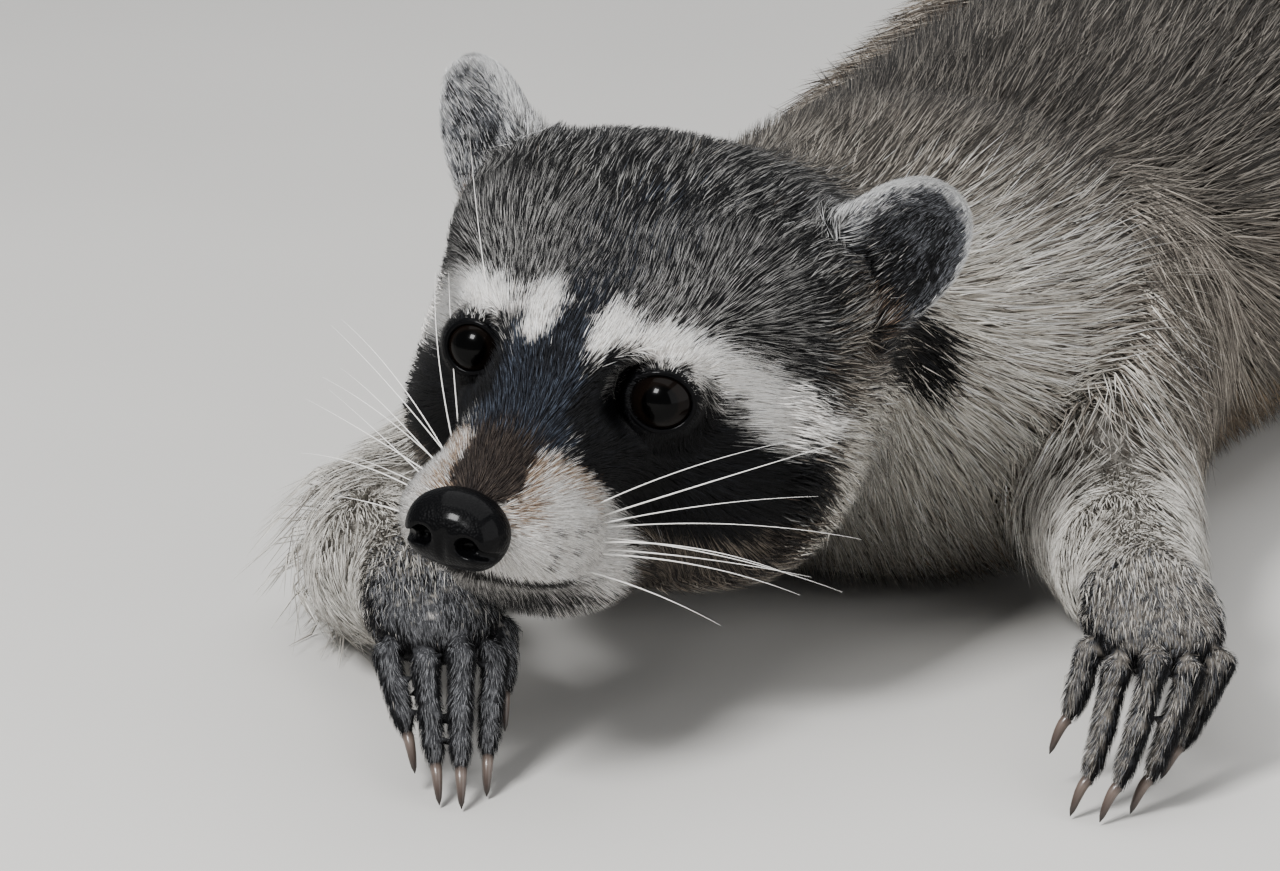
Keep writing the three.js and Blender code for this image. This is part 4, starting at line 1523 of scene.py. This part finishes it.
def strand_tone() -> bpy.types.NodeTree:
    """Build the group that streaks a coat hair by hair, from a colour to a streaked one and a height."""
    name = "Strand tone"
    if name in bpy.data.node_groups:
        return bpy.data.node_groups[name]
    tree = bpy.data.node_groups.new(name, "ShaderNodeTree")
    socket(tree, "Colour", "NodeSocketColor")
    socket(tree, "Place", "NodeSocketVector")
    socket(tree, "Scale", "NodeSocketFloat", default=1.0)
    socket(tree, "Contrast", "NodeSocketFloat", default=0.4)
    socket(tree, "Colour", "NodeSocketColor", out=True)
    socket(tree, "Height", "NodeSocketFloat", out=True)
    start, end = add(tree, "NodeGroupInput"), add(tree, "NodeGroupOutput")
    noise = add(tree, "ShaderNodeTexNoise", {"Detail": 3.0})
    stretch = add(tree, "ShaderNodeMapRange", {"From Min": 0.3, "From Max": 0.7})
    low = add(tree, "ShaderNodeMath")
    low.operation = "SUBTRACT"
    high = add(tree, "ShaderNodeMath")
    high.operation = "ADD"
    for node in (low, high):
        node.inputs[0].default_value = 1.0
    blend = add(tree, "ShaderNodeVectorMath")
    blend.operation = "SCALE"
    wire(
        tree,
        (start, "Place", noise, "Vector"),
        (start, "Scale", noise, "Scale"),
        (start, "Contrast", low, 1),
        (start, "Contrast", high, 1),
        (noise, "Fac", stretch, "Value"),
        (low, 0, stretch, "To Min"),
        (high, 0, stretch, "To Max"),
        (start, "Colour", blend, 0),
        (stretch, "Result", blend, "Scale"),
        (blend, 0, end, "Colour"),
        (noise, "Fac", end, "Height"),
    )
    return tree


def new_material(name: str) -> tuple[bpy.types.Material, bpy.types.ShaderNode]:
    """Start a material with its Principled shader."""
    material = bpy.data.materials.new(name)
    material.use_nodes = True
    return material, material.node_tree.nodes["Principled BSDF"]


@dataclass(frozen=True)
class CoatFinish:
    """Hair or hide that takes its colour from the attribute Coat."""

    name: str
    roughness: float = 0.5
    bump: float = 0.3
    strand: bool = True
    gloss: float = 0.2
    contrast: float = 0.3

    def material(self) -> bpy.types.Material:
        """Make the material, or find it if it is made."""
        if self.name in bpy.data.materials:
            return bpy.data.materials[self.name]
        material, shader = new_material(self.name)
        tree = material.node_tree
        colour = add(tree, "ShaderNodeAttribute")
        colour.attribute_name = "Coat"
        tone = add(tree, "ShaderNodeGroup")
        tone.node_tree = strand_tone()
        if self.strand:
            place = add(tree, "ShaderNodeAttribute")
            place.attribute_name = "Strand"
        else:
            place = add(tree, "ShaderNodeTexCoord")
        settle(tone, {"Scale": 4.2 if self.strand else 1300.0, "Contrast": self.contrast})
        bump = add(tree, "ShaderNodeBump", {"Strength": self.bump, "Distance": 0.0006})
        wire(
            tree,
            (place, "Vector" if self.strand else "Object", tone, "Place"),
            (colour, "Color", tone, "Colour"),
            (tone, "Colour", shader, "Base Color"),
            (tone, "Height", bump, "Height"),
            (bump, "Normal", shader, "Normal"),
        )
        settle(shader, {"Roughness": self.roughness, "Specular IOR Level": self.gloss})
        return material


@dataclass(frozen=True)
class WetFinish:
    """Bare skin, horn or eye: two colours mixed by a grain, with a moist or polished coat."""

    name: str
    dark: Point
    light: Point
    scale: float
    roughness: float
    coat: float = 0.0
    bump: float = 0.0
    cells: bool = False
    attribute: str = ""
    stops: tuple[tuple[float, Point], ...] = ()
    gloss: float = 0.3
    coat_roughness: float = 0.05

    def material(self) -> bpy.types.Material:
        """Make the material, or find it if it is made."""
        if self.name in bpy.data.materials:
            return bpy.data.materials[self.name]
        material, shader = new_material(self.name)
        tree = material.node_tree
        ramp_node = add(tree, "ShaderNodeValToRGB")
        ramp_node.color_ramp.elements[0].color = (*srgb(*self.dark), 1.0)
        ramp_node.color_ramp.elements[1].color = (*srgb(*self.light), 1.0)
        for at, tint in self.stops:
            stop = ramp_node.color_ramp.elements.new(at)
            stop.color = (*srgb(*tint), 1.0)
        place = add(tree, "ShaderNodeTexCoord")
        grain = add(tree, "ShaderNodeTexVoronoi" if self.cells else "ShaderNodeTexNoise")
        settle(grain, {"Scale": self.scale})
        value = "Distance" if self.cells else "Fac"
        read = grain
        if self.attribute:
            read = add(tree, "ShaderNodeAttribute")
            read.attribute_name = self.attribute
        wire(
            tree,
            (place, "Object", grain, "Vector"),
            (read, "Fac" if self.attribute else value, ramp_node, "Fac"),
            (ramp_node, "Color", shader, "Base Color"),
        )
        if self.bump:
            bump = add(tree, "ShaderNodeBump", {"Strength": self.bump, "Distance": 0.0004})
            bump.invert = self.cells
            wire(tree, (grain, value, bump, "Height"), (bump, "Normal", shader, "Normal"))
        settle(shader, {"Roughness": self.roughness, "Specular IOR Level": self.gloss})
        settle(shader, {"Coat Weight": self.coat, "Coat Roughness": self.coat_roughness})
        return material


HIDE_FINISH = CoatFinish("hide", roughness=0.72, bump=0.35, strand=False, gloss=0.12)
FUR_FINISH = CoatFinish("fur", roughness=0.5, bump=0.25)
EYE_FINISH = WetFinish(
    "eyeball",
    dark=(2, 2, 2),
    light=(8, 6, 6),
    scale=900.0,
    roughness=0.2,
    coat=0.11,
    attribute="Gaze",
    stops=((0.3, (1, 1, 1)), (0.36, (11, 7, 5)), (0.54, (8, 5, 4)), (0.64, (3, 2, 2))),
    gloss=0.03,
)
LID_FINISH = WetFinish(
    "eyelid", (2, 2, 3), (5, 5, 6), 1500.0, 0.55, coat=0.08, bump=0.2, gloss=0.03, coat_roughness=0.1
)
NOSE_FINISH = WetFinish(
    "nose_skin",
    dark=(2, 2, 3),
    light=(6, 6, 7),
    scale=1500.0,
    roughness=0.45,
    coat=0.13,
    bump=0.45,
    cells=True,
    gloss=0.03,
    coat_roughness=0.12,
)
# The claws are paler about a third of the way along, partly their own lighter horn and partly a painted
# highlight.
CLAW_FINISH = WetFinish(
    "claw_horn",
    dark=(58, 50, 46),
    light=(16, 13, 12),
    scale=1200.0,
    roughness=0.32,
    coat=0.3,
    bump=0.1,
    attribute="Along",
    stops=((0.3, (96, 84, 77)), (0.72, (60, 50, 45))),
)
WHISKER_FINISH = WetFinish("whisker", (236, 232, 226), (252, 251, 248), 300.0, 0.35)


# ------------------------------------------------------------------------------- eyes, nose
def ride_as(made: bpy.types.Object, nodes: Sequence[str] = ()) -> bpy.types.Object:
    """Tie a finished piece to the body and the solids that it stands for."""
    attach(made, BODY)
    if nodes:
        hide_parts(*nodes)
    LOG.info("%s: %d faces", made.name, len(made.data.polygons))
    return made


@dataclass
class Eye:
    """One eyeball with a bulging cornea, and the lids round it."""

    head: HeadShape
    side: str
    shift: Array
    rings: int = 36
    segments: int = 56
    cornea: float = 0.5
    rim: float = 0.5

    def _axes(self) -> tuple[Array, Array, Array]:
        """Give the directions out of the eye, across it towards the temple, and up."""
        mirror = np.array([SIDES[self.side], 1.0, 1.0])
        out, across, up = (axis * mirror for axis in self.head.gaze_axes(self.side))
        return out, across, up

    def _ring(self, angle: Array) -> Array:
        """Give directions all round the gaze, at angles from it."""
        out, across, up = self._axes()
        turn = self._turns()[:, None]
        return np.cos(angle) * out + np.sin(angle) * (np.cos(turn) * across + np.sin(turn) * up)

    def _turns(self) -> Array:
        """Give the angles of a ring's points round the gaze."""
        return 2 * math.pi * np.arange(self.segments) / self.segments

    def _centre(self) -> Array:
        """Give the eye's centre in the head's frame."""
        return np.array([SIDES[self.side] * self.head.eye_spread, self.head.eye_back, 0.0])

    def build_ball(self) -> bpy.types.Object:
        """Make the eyeball.

        Returns:
            The finished piece.
        """
        out, radius = self._axes()[0], self.head.eye_radius
        rows, share = [], []
        for n in range(1, self.rings):
            angle = math.pi * n / self.rings
            bulge = self.cornea * float(ramp(np.array([math.degrees(angle)]), 48.0, 10.0)[0])
            rows.append(self._ring(angle) * (radius + bulge - 0.1))
            share.append(np.full(self.segments, math.degrees(angle) / 90.0))
        points = np.vstack([[out * (radius + self.cornea - 0.1)], *rows, [-out * (radius - 0.1)]])
        faces = sphere_faces(self.rings - 1, self.segments)
        faces = faces if signed_volume(points, faces) > 0 else faces[:, ::-1]
        places = self.head.world(points + self._centre())
        made = mesh_object(f"eye_{self.side}_ball", places, faces, self.shift)
        gaze = made.data.attributes.new("Gaze", "FLOAT", "POINT")
        gaze.data.foreach_set("value", np.concatenate([[0.0], *share, [2.0]]).astype(np.float32))
        made.data.materials.append(EYE_FINISH.material())
        return ride_as(made, [f"eye_{self.side}"])

    def build_lids(self) -> bpy.types.Object:
        """Make the lids: one ring with a wet rim round the opening.

        Returns:
            The finished piece.
        """
        turn = self._turns()
        wide, tall = (angle - 2.0 for angle in self.head.opening[self.side])
        corner = np.maximum(-np.cos(turn), 0.0) ** 6 * 8.0
        edge = wide * tall / np.hypot(tall * np.cos(turn), wide * np.sin(turn)) + corner
        profile = [(1.0, 0.0), (-1.8, 0.12), (-2.6, 0.3), (-1.6, self.rim + 0.1)]
        profile += [(1.0, self.rim + 0.38), (4.0, self.rim + 0.42), (7.0, self.rim + 0.2)]
        profile += [(11.0, 0.3), (13.0, 0.1), (8.0, 0.0)]
        rows = []
        for beyond, lift in profile:
            rows.append(self._ring(np.radians(edge + beyond)[:, None]) * (self.head.eye_radius + lift))
        points = np.vstack(rows)
        count = len(profile)
        faces = []
        for n in range(count):
            a, b = n * self.segments, (n + 1) % count * self.segments
            for s in range(self.segments):
                t = (s + 1) % self.segments
                faces.append((a + s, a + t, b + t, b + s))
        quads = np.array(faces)
        quads = quads if signed_volume(points, quads) > 0 else quads[:, ::-1]
        places = self.head.world(points + self._centre())
        made = mesh_object(f"eye_{self.side}_lids", places, quads, self.shift)
        made.data.materials.append(LID_FINISH.material())
        return ride_as(made)


def sphere_faces(rows: int, segments: int) -> Array:
    """Join a pole, rows of rings and a second pole with triangles."""
    faces = []
    last = 1 + rows * segments
    for s in range(segments):
        t = (s + 1) % segments
        faces.append((0, 1 + s, 1 + t))
        faces.append((last, 1 + (rows - 1) * segments + t, 1 + (rows - 1) * segments + s))
        for row in range(rows - 1):
            a, b = 1 + row * segments, 1 + (row + 1) * segments
            faces.append((a + s, b + s, b + t))
            faces.append((a + s, b + t, a + t))
    return np.array(faces)


def signed_volume(points: Array, faces: Array) -> float:
    """Measure a closed mesh's volume, negative when it is inside out."""
    fan = [faces[:, [0, n, n + 1]] for n in range(1, faces.shape[1] - 1)]
    corners = points[np.vstack(fan)]
    return float((corners[:, 0] * np.cross(corners[:, 1], corners[:, 2])).sum() / 6.0)


@dataclass
class Nose:
    """The nose leather with its nostrils and the groove between them."""

    head: HeadShape
    shift: Array
    at: Point = (0.3, -46.0, -28.5)
    half: Point = (11.2, 8.8, 8.8)
    cell: float = 0.55

    def build(self) -> bpy.types.Object:
        """Make the nose.

        Returns:
            The finished piece.
        """
        _, y, z = self.at
        form = both_sides(
            grow(
                ball(self.at, self.half),
                (ball((6.2, y - 1.5, z - 1.0), (4.8, 6.4, 6.2)), 2.5),
            )
        )
        form = hollow(form, both_sides(ball((5.4, y - 8.2, z - 1.8), (2.6, 4.6, 2.2))), 1.0)
        form = hollow(form, both_sides(bar((7.2, y - 7.2, z - 2.6), (12.8, y - 0.5, z - 3.6), 1.3, 0.8)), 0.9)
        form = hollow(form, bar((0, y - 9.6, z + 1.0), (0, y - 6.0, z - 9.5), 0.55, 0.9), 1.2)
        lines = [np.arange(a - 14.0, a + 14.0, self.cell) for a in self.at]
        vertices, quads = closed_surface(form, lines, levels=2)
        made = mesh_object("nose_pad", self.head.world(vertices), quads, self.shift)
        made.data.materials.append(NOSE_FINISH.material())
        return ride_as(made, ["nose"])


# ------------------------------------------------------------------------------- whiskers and claws
def strand_tree() -> bpy.types.NodeTree:
    """Build the tree that turns lines into tapered closed strands, with named inputs for its sizes."""
    name = "Tapered strands"
    if name in bpy.data.node_groups:
        return bpy.data.node_groups[name]
    tree = bpy.data.node_groups.new(name, "GeometryNodeTree")
    socket(tree, "Lines", "NodeSocketGeometry")
    socket(tree, "Sides", "NodeSocketInt", default=6)
    socket(tree, "Finish", "NodeSocketMaterial")
    socket(tree, "Strands", "NodeSocketGeometry", out=True)
    start, end = add(tree, "NodeGroupInput"), add(tree, "NodeGroupOutput")
    curve = add(tree, "GeometryNodeMeshToCurve")
    thickness = add(tree, "GeometryNodeInputNamedAttribute", {"Name": "Thickness"})
    thickness.data_type = "FLOAT"
    radius = add(tree, "GeometryNodeSetCurveRadius")
    circle = add(tree, "GeometryNodeCurvePrimitiveCircle", {"Radius": 1.0})
    sweep = add(tree, "GeometryNodeCurveToMesh", {"Fill Caps": True})
    smooth = add(tree, "GeometryNodeSetShadeSmooth")
    realize = add(tree, "GeometryNodeRealizeInstances")
    dress = add(tree, "GeometryNodeSetMaterial")
    wire(
        tree,
        (start, "Lines", curve, "Mesh"),
        (curve, "Curve", radius, "Curve"),
        (thickness, "Attribute", radius, "Radius"),
        (start, "Sides", circle, "Resolution"),
        (radius, "Curve", sweep, "Curve"),
        (circle, "Curve", sweep, "Profile Curve"),
        (sweep, "Mesh", smooth, "Geometry"),
        (smooth, "Geometry", realize, "Geometry"),
        (realize, "Geometry", dress, "Geometry"),
        (start, "Finish", dress, "Material"),
        (dress, "Geometry", end, "Strands"),
    )
    if "Scale" in sweep.inputs:
        wire(tree, (thickness, "Attribute", sweep, "Scale"))
    return tree


def strands(
    name: str, lines: Sequence[Array], radii: Sequence[Array], sides: int, finish: WetFinish, shift: Array
) -> bpy.types.Object:
    """Sweep tapered strands along lines.

    Args:
        name: the piece's name.
        lines: each strand's points, in the figure's frame.
        radii: each point's radius, in millimetres.
        sides: of each strand.
        finish: what they are made of.
        shift: from the figure's frame to that of the solids.

    Returns:
        The swept mesh, not yet riding on anything.
    """
    mesh = bpy.data.meshes.new(name + "_lines")
    points = (np.vstack(lines) + shift) * MM
    edges, start = [], 0
    for line in lines:
        edges += [(start + n, start + n + 1) for n in range(len(line) - 1)]
        start += len(line)
    mesh.from_pydata(points.tolist(), edges, [])
    thickness = mesh.attributes.new("Thickness", "FLOAT", "POINT")
    thickness.data.foreach_set("value", (np.concatenate(radii) * MM).astype(np.float32))
    along = mesh.attributes.new("Along", "FLOAT", "POINT")
    shares = np.concatenate([np.linspace(0, 1, len(line)) for line in lines])
    along.data.foreach_set("value", shares.astype(np.float32))
    carrier = placed(name + "_lines", mesh)
    modifier = carrier.modifiers.new("Strands", "NODES")
    tree = strand_tree()
    modifier.node_group = tree
    for item in tree.interface.items_tree:
        if item.item_type == "SOCKET" and item.in_out == "INPUT":
            if item.name == "Sides":
                modifier[item.identifier] = sides
            elif item.name == "Finish":
                modifier[item.identifier] = finish.material()
    graph = bpy.context.evaluated_depsgraph_get()
    swept = bpy.data.meshes.new_from_object(carrier.evaluated_get(graph))
    swept.name = name
    made = placed(name, swept)
    carrier.modifiers.remove(modifier)
    bpy.data.objects.remove(carrier)
    return made


@dataclass
class Claws:
    """The claws of the hands or of the hind feet."""

    build: Anatomy
    shift: Array
    radius: float = 1.35
    hook: float = 1.2
    steps: int = 9

    def build_set(self, name: str, digits: dict[str, list[Digit]], prefix: str) -> bpy.types.Object:
        """Make one set of claws.

        Args:
            name: the piece's name.
            digits: each side's digits, whose last two points are the end of the flesh and the claw's tip.
            prefix: of the solids' names.

        Returns:
            The finished piece.
        """
        lines, radii, nodes = [], [], []
        for side, row in digits.items():
            for n, digit in enumerate(row):
                end, tip = digit.points[-2], digit.points[-1]
                out = unit(tip - end)
                begin = end + out * (digit.radii[-1] * 0.35)
                t = np.linspace(0.0, 1.0, self.steps)[:, None]
                line = begin + (tip - begin) * t
                line[:, 2] += (self.hook * np.sin(math.pi * t[:, 0] ** 0.8)) + 0.15 * t[:, 0]
                lines.append(line)
                radii.append(self.radius * np.sqrt(1.0 - t[:, 0] ** 3.2) * (1.0 - 0.32 * t[:, 0]) + 0.08)
                nodes.append(f"{prefix}_{side}_{n + 1}")
        made = strands(name, lines, radii, 10, CLAW_FINISH, self.shift)
        return ride_as(made, nodes)


@dataclass
class Whiskers:
    """The long hairs of the muzzle and the brow."""

    build: Anatomy
    shift: Array
    radius: float = 0.2
    steps: int = 16
    seed: int = 5
    muzzle: tuple[tuple[float, float, float, float], ...] = (
        (-15.0, -24.0, 0.78, 48.0),
        (-9.0, -27.5, 0.62, 56.0),
        (-13.0, -29.0, 0.52, 50.0),
        (-8.0, -30.5, 0.42, 60.0),
        (-14.0, -32.0, 0.32, 50.0),
        (-7.0, -33.0, 0.24, 56.0),
        (-11.0, -35.0, 0.14, 50.0),
        (-5.0, -36.5, 0.06, 48.0),
        (-15.0, -37.0, -0.05, 32.0),
    )
    steep: tuple[tuple[float, float, float, float], ...] = (
        (-12.0, -23.0, 1.7, 48.0),
        (-9.0, -25.0, 2.6, 52.0),
    )
    brow: tuple[tuple[float, float, float, float], ...] = ((22.0, -4.0, 13.0, 38.0),)

    def _one(self, root: Array, out: Array, bend: Array, length: float) -> Array:
        """Lay one whisker out from its root, bending as it goes."""
        t = np.linspace(0.0, 1.0, self.steps)[:, None]
        return root + unit(out) * length * t + bend * length * t * t

    def build_all(self) -> bpy.types.Object:
        """Make every whisker.

        Returns:
            The finished piece.
        """
        head, rng = self.build.head, np.random.default_rng(self.seed)
        skull = head.skull()
        lines, radii = [], []
        taper = 1.0 - 0.88 * np.linspace(0, 1, self.steps) ** 1.3
        for mirror in SIDES.values():
            for place, height, rise, length in self.muzzle + (self.steep if mirror < 0 else ()):
                root = drawn_to(skull, np.array([[16.0, place, height]]), -1.2, 4)[0] * (mirror, 1, 1)
                out = np.array([mirror * 1.0, 0.3, rise]) + rng.normal(size=3) * 0.05
                bend = np.array([-0.06 * mirror, 0.16, -0.17]) + rng.normal(size=3) * 0.05
                lines.append(head.world(self._one(root, out, bend, length * rng.uniform(0.9, 1.08))))
                radii.append(self.radius * rng.uniform(0.75, 1.1) * taper)
            for x, y, z, length in self.brow if mirror < 0 else ():
                root = drawn_to(skull, np.array([[x, y, z]]), -1.2, 4)[0] * (mirror, 1, 1)
                out = np.array([mirror * 0.5, 0.1, 0.9]) + rng.normal(size=3) * 0.1
                lines.append(head.world(self._one(root, out, np.array([0.12 * mirror, 0.4, -0.1]), length)))
                radii.append(self.radius * 0.55 * taper)
        low = self.build.sole_height + 1.0
        lines = [np.column_stack([line[:, :2], np.maximum(line[:, 2], low)]) for line in lines]
        made = strands("whiskers", lines, radii, 5, WHISKER_FINISH, self.shift)
        return ride_as(made)


# ------------------------------------------------------------------------------- studio
@dataclass
class Studio:
    """The floor, the soft lights and the camera."""

    head_at: Array
    azimuth: float = 22.0
    elevation: float = 17.0
    distance: float = 1300.0
    right: float = 15.67
    down: float = 14.22
    lens: float = 164.5
    floor_reach: float = 6000.0

    def _axes(self) -> tuple[Vector, Vector, Vector]:
        """Give the directions towards the camera, to its right and up."""
        a, e = math.radians(self.azimuth), math.radians(self.elevation)
        back = Vector((math.sin(a) * math.cos(e), -math.cos(a) * math.cos(e), math.sin(e)))
        across = Vector((math.cos(a), math.sin(a), 0.0))
        return back, across, back.cross(across)

    def build(self) -> None:
        """Lay the floor, hang the lights and stand the camera."""
        self._floor()
        back, across, up = self._axes()
        target = Vector(self.head_at * MM)
        self._light("key", target + (back * 1.2 - across * 0.6 + up * 0.8), 0.42, 42.0, target)
        self._light("fill", target + (back * 0.9 + across * 1.3 + up * 0.3), 1.7, 18.0, target)
        self._light("top", target + Vector((0.0, 0.35, 1.3)), 1.6, 15.0, target)
        world = bpy.data.worlds.new("studio")
        world.use_nodes = True
        world.node_tree.nodes["Background"].inputs["Color"].default_value = (0.86, 0.88, 0.92, 1.0)
        world.node_tree.nodes["Background"].inputs["Strength"].default_value = 0.36
        bpy.context.scene.world = world
        data = bpy.data.cameras.new("camera")
        data.sensor_width = 36.0
        data.lens = self.lens
        data.clip_start, data.clip_end = 0.05, 30.0
        camera = placed("camera", data)
        camera.location = target + (back * self.distance + across * self.right - up * self.down) * MM
        camera.rotation_euler = Matrix((across, up, back)).transposed().to_euler()
        bpy.context.scene.camera = camera

    def _light(self, name: str, at: Vector, size: float, power: float, target: Vector) -> None:
        """Hang one soft square light that looks at the head."""
        data = bpy.data.lights.new(name, "AREA")
        data.size = size
        data.energy = power
        lamp = placed(name, data)
        lamp.location = at
        lamp.rotation_euler = (at - target).to_track_quat("Z", "Y").to_euler()

    def _floor(self) -> None:
        """Lay a plain pale floor."""
        turns = ((-1, -1, 0), (1, -1, 0), (1, 1, 0), (-1, 1, 0))
        corners = np.array(turns, float) * self.floor_reach
        made = mesh_object("floor", corners, np.array([[0, 1, 2, 3]]), np.zeros(3))
        finish = WetFinish("floor_paint", (196, 194, 190), (206, 204, 200), 6.0, 0.75)
        made.data.materials.append(finish.material())


# ------------------------------------------------------------------------------- the whole animal
@dataclass
class Raccoon:
    """The animal, put together from its parts."""

    shift: Array
    build: Anatomy = field(default_factory=Anatomy)

    def pieces_of_coat(self) -> list[CoatPiece]:
        """List the coat's pieces, from the face to the tail."""
        trunk, head = (Region.TRUNK,), (Region.HEAD,)
        hand, foot = (Region.HAND, Region.FINGER), (Region.FOOT, Region.TOE)
        body = {"length": (6.0, 1.6), "width": (0.24, 0.01), "cover": 8.0}

        def front(p: Array, q: Array) -> Array:
            """Say where the face's short hair is."""
            return ramp(q[:, 1], 12.0, -2.0) * ramp(q[:, 2], 22.0, 14.0)

        def rear(p: Array, q: Array) -> Array:
            """Say where the crown and cheeks are."""
            return ramp(q[:, 1], 20.0, 34.0)

        def brow(p: Array, q: Array) -> Array:
            """Say where the brow is: between the face and the crown."""
            return 1.0 - front(p, q) - rear(p, q)

        def crown(p: Array, q: Array) -> Array:
            """Say where the crown is."""
            return rear(p, q) * ramp(q[:, 2], -2.0, 8.0)

        def cheeks(p: Array, q: Array) -> Array:
            """Say where the cheeks are."""
            return rear(p, q) * ramp(q[:, 2], 8.0, -2.0)

        def stretch(low: float, high: float) -> Callable[[Array, Array], Array]:
            """Take what lies between two places along the trunk, with soft ends."""
            return lambda p, q: (
                ramp(p[:, 1], low - 10.0, low + 10.0) * ramp(p[:, 1], high + 10.0, high - 10.0)
            )

        paw = {"tuft": STRAIGHT, "slot": "hand_fur"}
        return [
            CoatPiece("coat_face", head, (1.5, 1.0), (0.2, 0.012), 4.2, 190000, STRAIGHT, front, seed=21),
            CoatPiece("coat_brow", head, (2.4, 1.45), (0.17, 0.012), 6.5, 180000, STRAIGHT, brow, seed=22),
            CoatPiece("coat_crown", head, (2.4, 1.35), (0.17, 0.011), 8.0, 180000, where=crown, seed=23),
            CoatPiece("coat_cheeks", head, (2.8, 1.5), (0.19, 0.012), 8.5, 110000, where=cheeks, seed=24),
            CoatPiece("coat_ears", (Region.EAR,), (2.8, 1.5), (0.16, 0.01), 5.0, 80000, STRAIGHT, seed=25),
            CoatPiece("coat_neck", (Region.NECK,), (5.0, 1.6), (0.22, 0.011), 10.0, 124000, seed=26),
            CoatPiece("coat_shoulders", trunk, **body, most=126000, where=stretch(-999.0, 252.0), seed=27),
            CoatPiece("coat_back", trunk, **body, most=72000, where=stretch(252.0, 362.0), seed=28),
            CoatPiece("coat_rump", trunk, **body, most=48000, where=stretch(362.0, 999.0), seed=29),
            CoatPiece("coat_tail", (Region.TAIL,), (8.0, 1.5), (0.28, 0.014), 7.0, 54000, lift=0.9, seed=30),
            CoatPiece("coat_arms", (Region.ARM,), (4.4, 1.6), (0.2, 0.012), 6.0, 144000, seed=31),
            CoatPiece("coat_hands", hand, (2.0, 1.1), (0.2, 0.01), 3.6, 140000, lift=0.72, **paw, seed=32),
            CoatPiece("coat_legs", (Region.LEG,), (5.0, 1.5), (0.28, 0.014), 5.0, 54000, seed=33),
            CoatPiece("coat_feet", foot, (2.4, 1.6), (0.3, 0.014), 2.6, 28000, **paw, seed=34),
        ]

    def make(self) -> None:
        """Build every piece in order."""
        lie, markings, unwrap = Lie(self.build), Markings(self.build), Unwrap()
        skin = Skin(self.build, lie, markings, unwrap, self.shift)
        hide = skin.build_mesh()
        ride_as(hide, skin.nodes())
        coat = Coat(skin)
        for piece in self.pieces_of_coat():
            coat.grow(piece)
        for side in SIDES:
            eye = Eye(self.build.head, side, self.shift)
            eye.build_ball()
            eye.build_lids()
        Nose(self.build.head, self.shift).build()
        claws = Claws(self.build, self.shift)
        claws.build_set("claws_hands", self.build.fingers, "claw")
        claws.build_set("claws_feet", self.build.toes, "toe_claw")
        Whiskers(self.build, self.shift).build_all()


def main() -> None:
    """Load the solids, build the looks round them and set up the studio."""
    logging.basicConfig(level=logging.INFO, format="%(name)s: %(message)s")
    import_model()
    build = Anatomy()
    middle = sum((sum(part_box(f"eye_{side}"), Vector()) / 2 for side in SIDES), Vector()) / 2
    eyes = build.head.world(np.array([[0.0, build.head.eye_back, 0.0]]))[0]
    shift = np.array(middle) / MM - eyes
    Raccoon(shift, build).make()
    Studio(build.head.origin + shift).build()


if __name__ == "__main__":
    main()
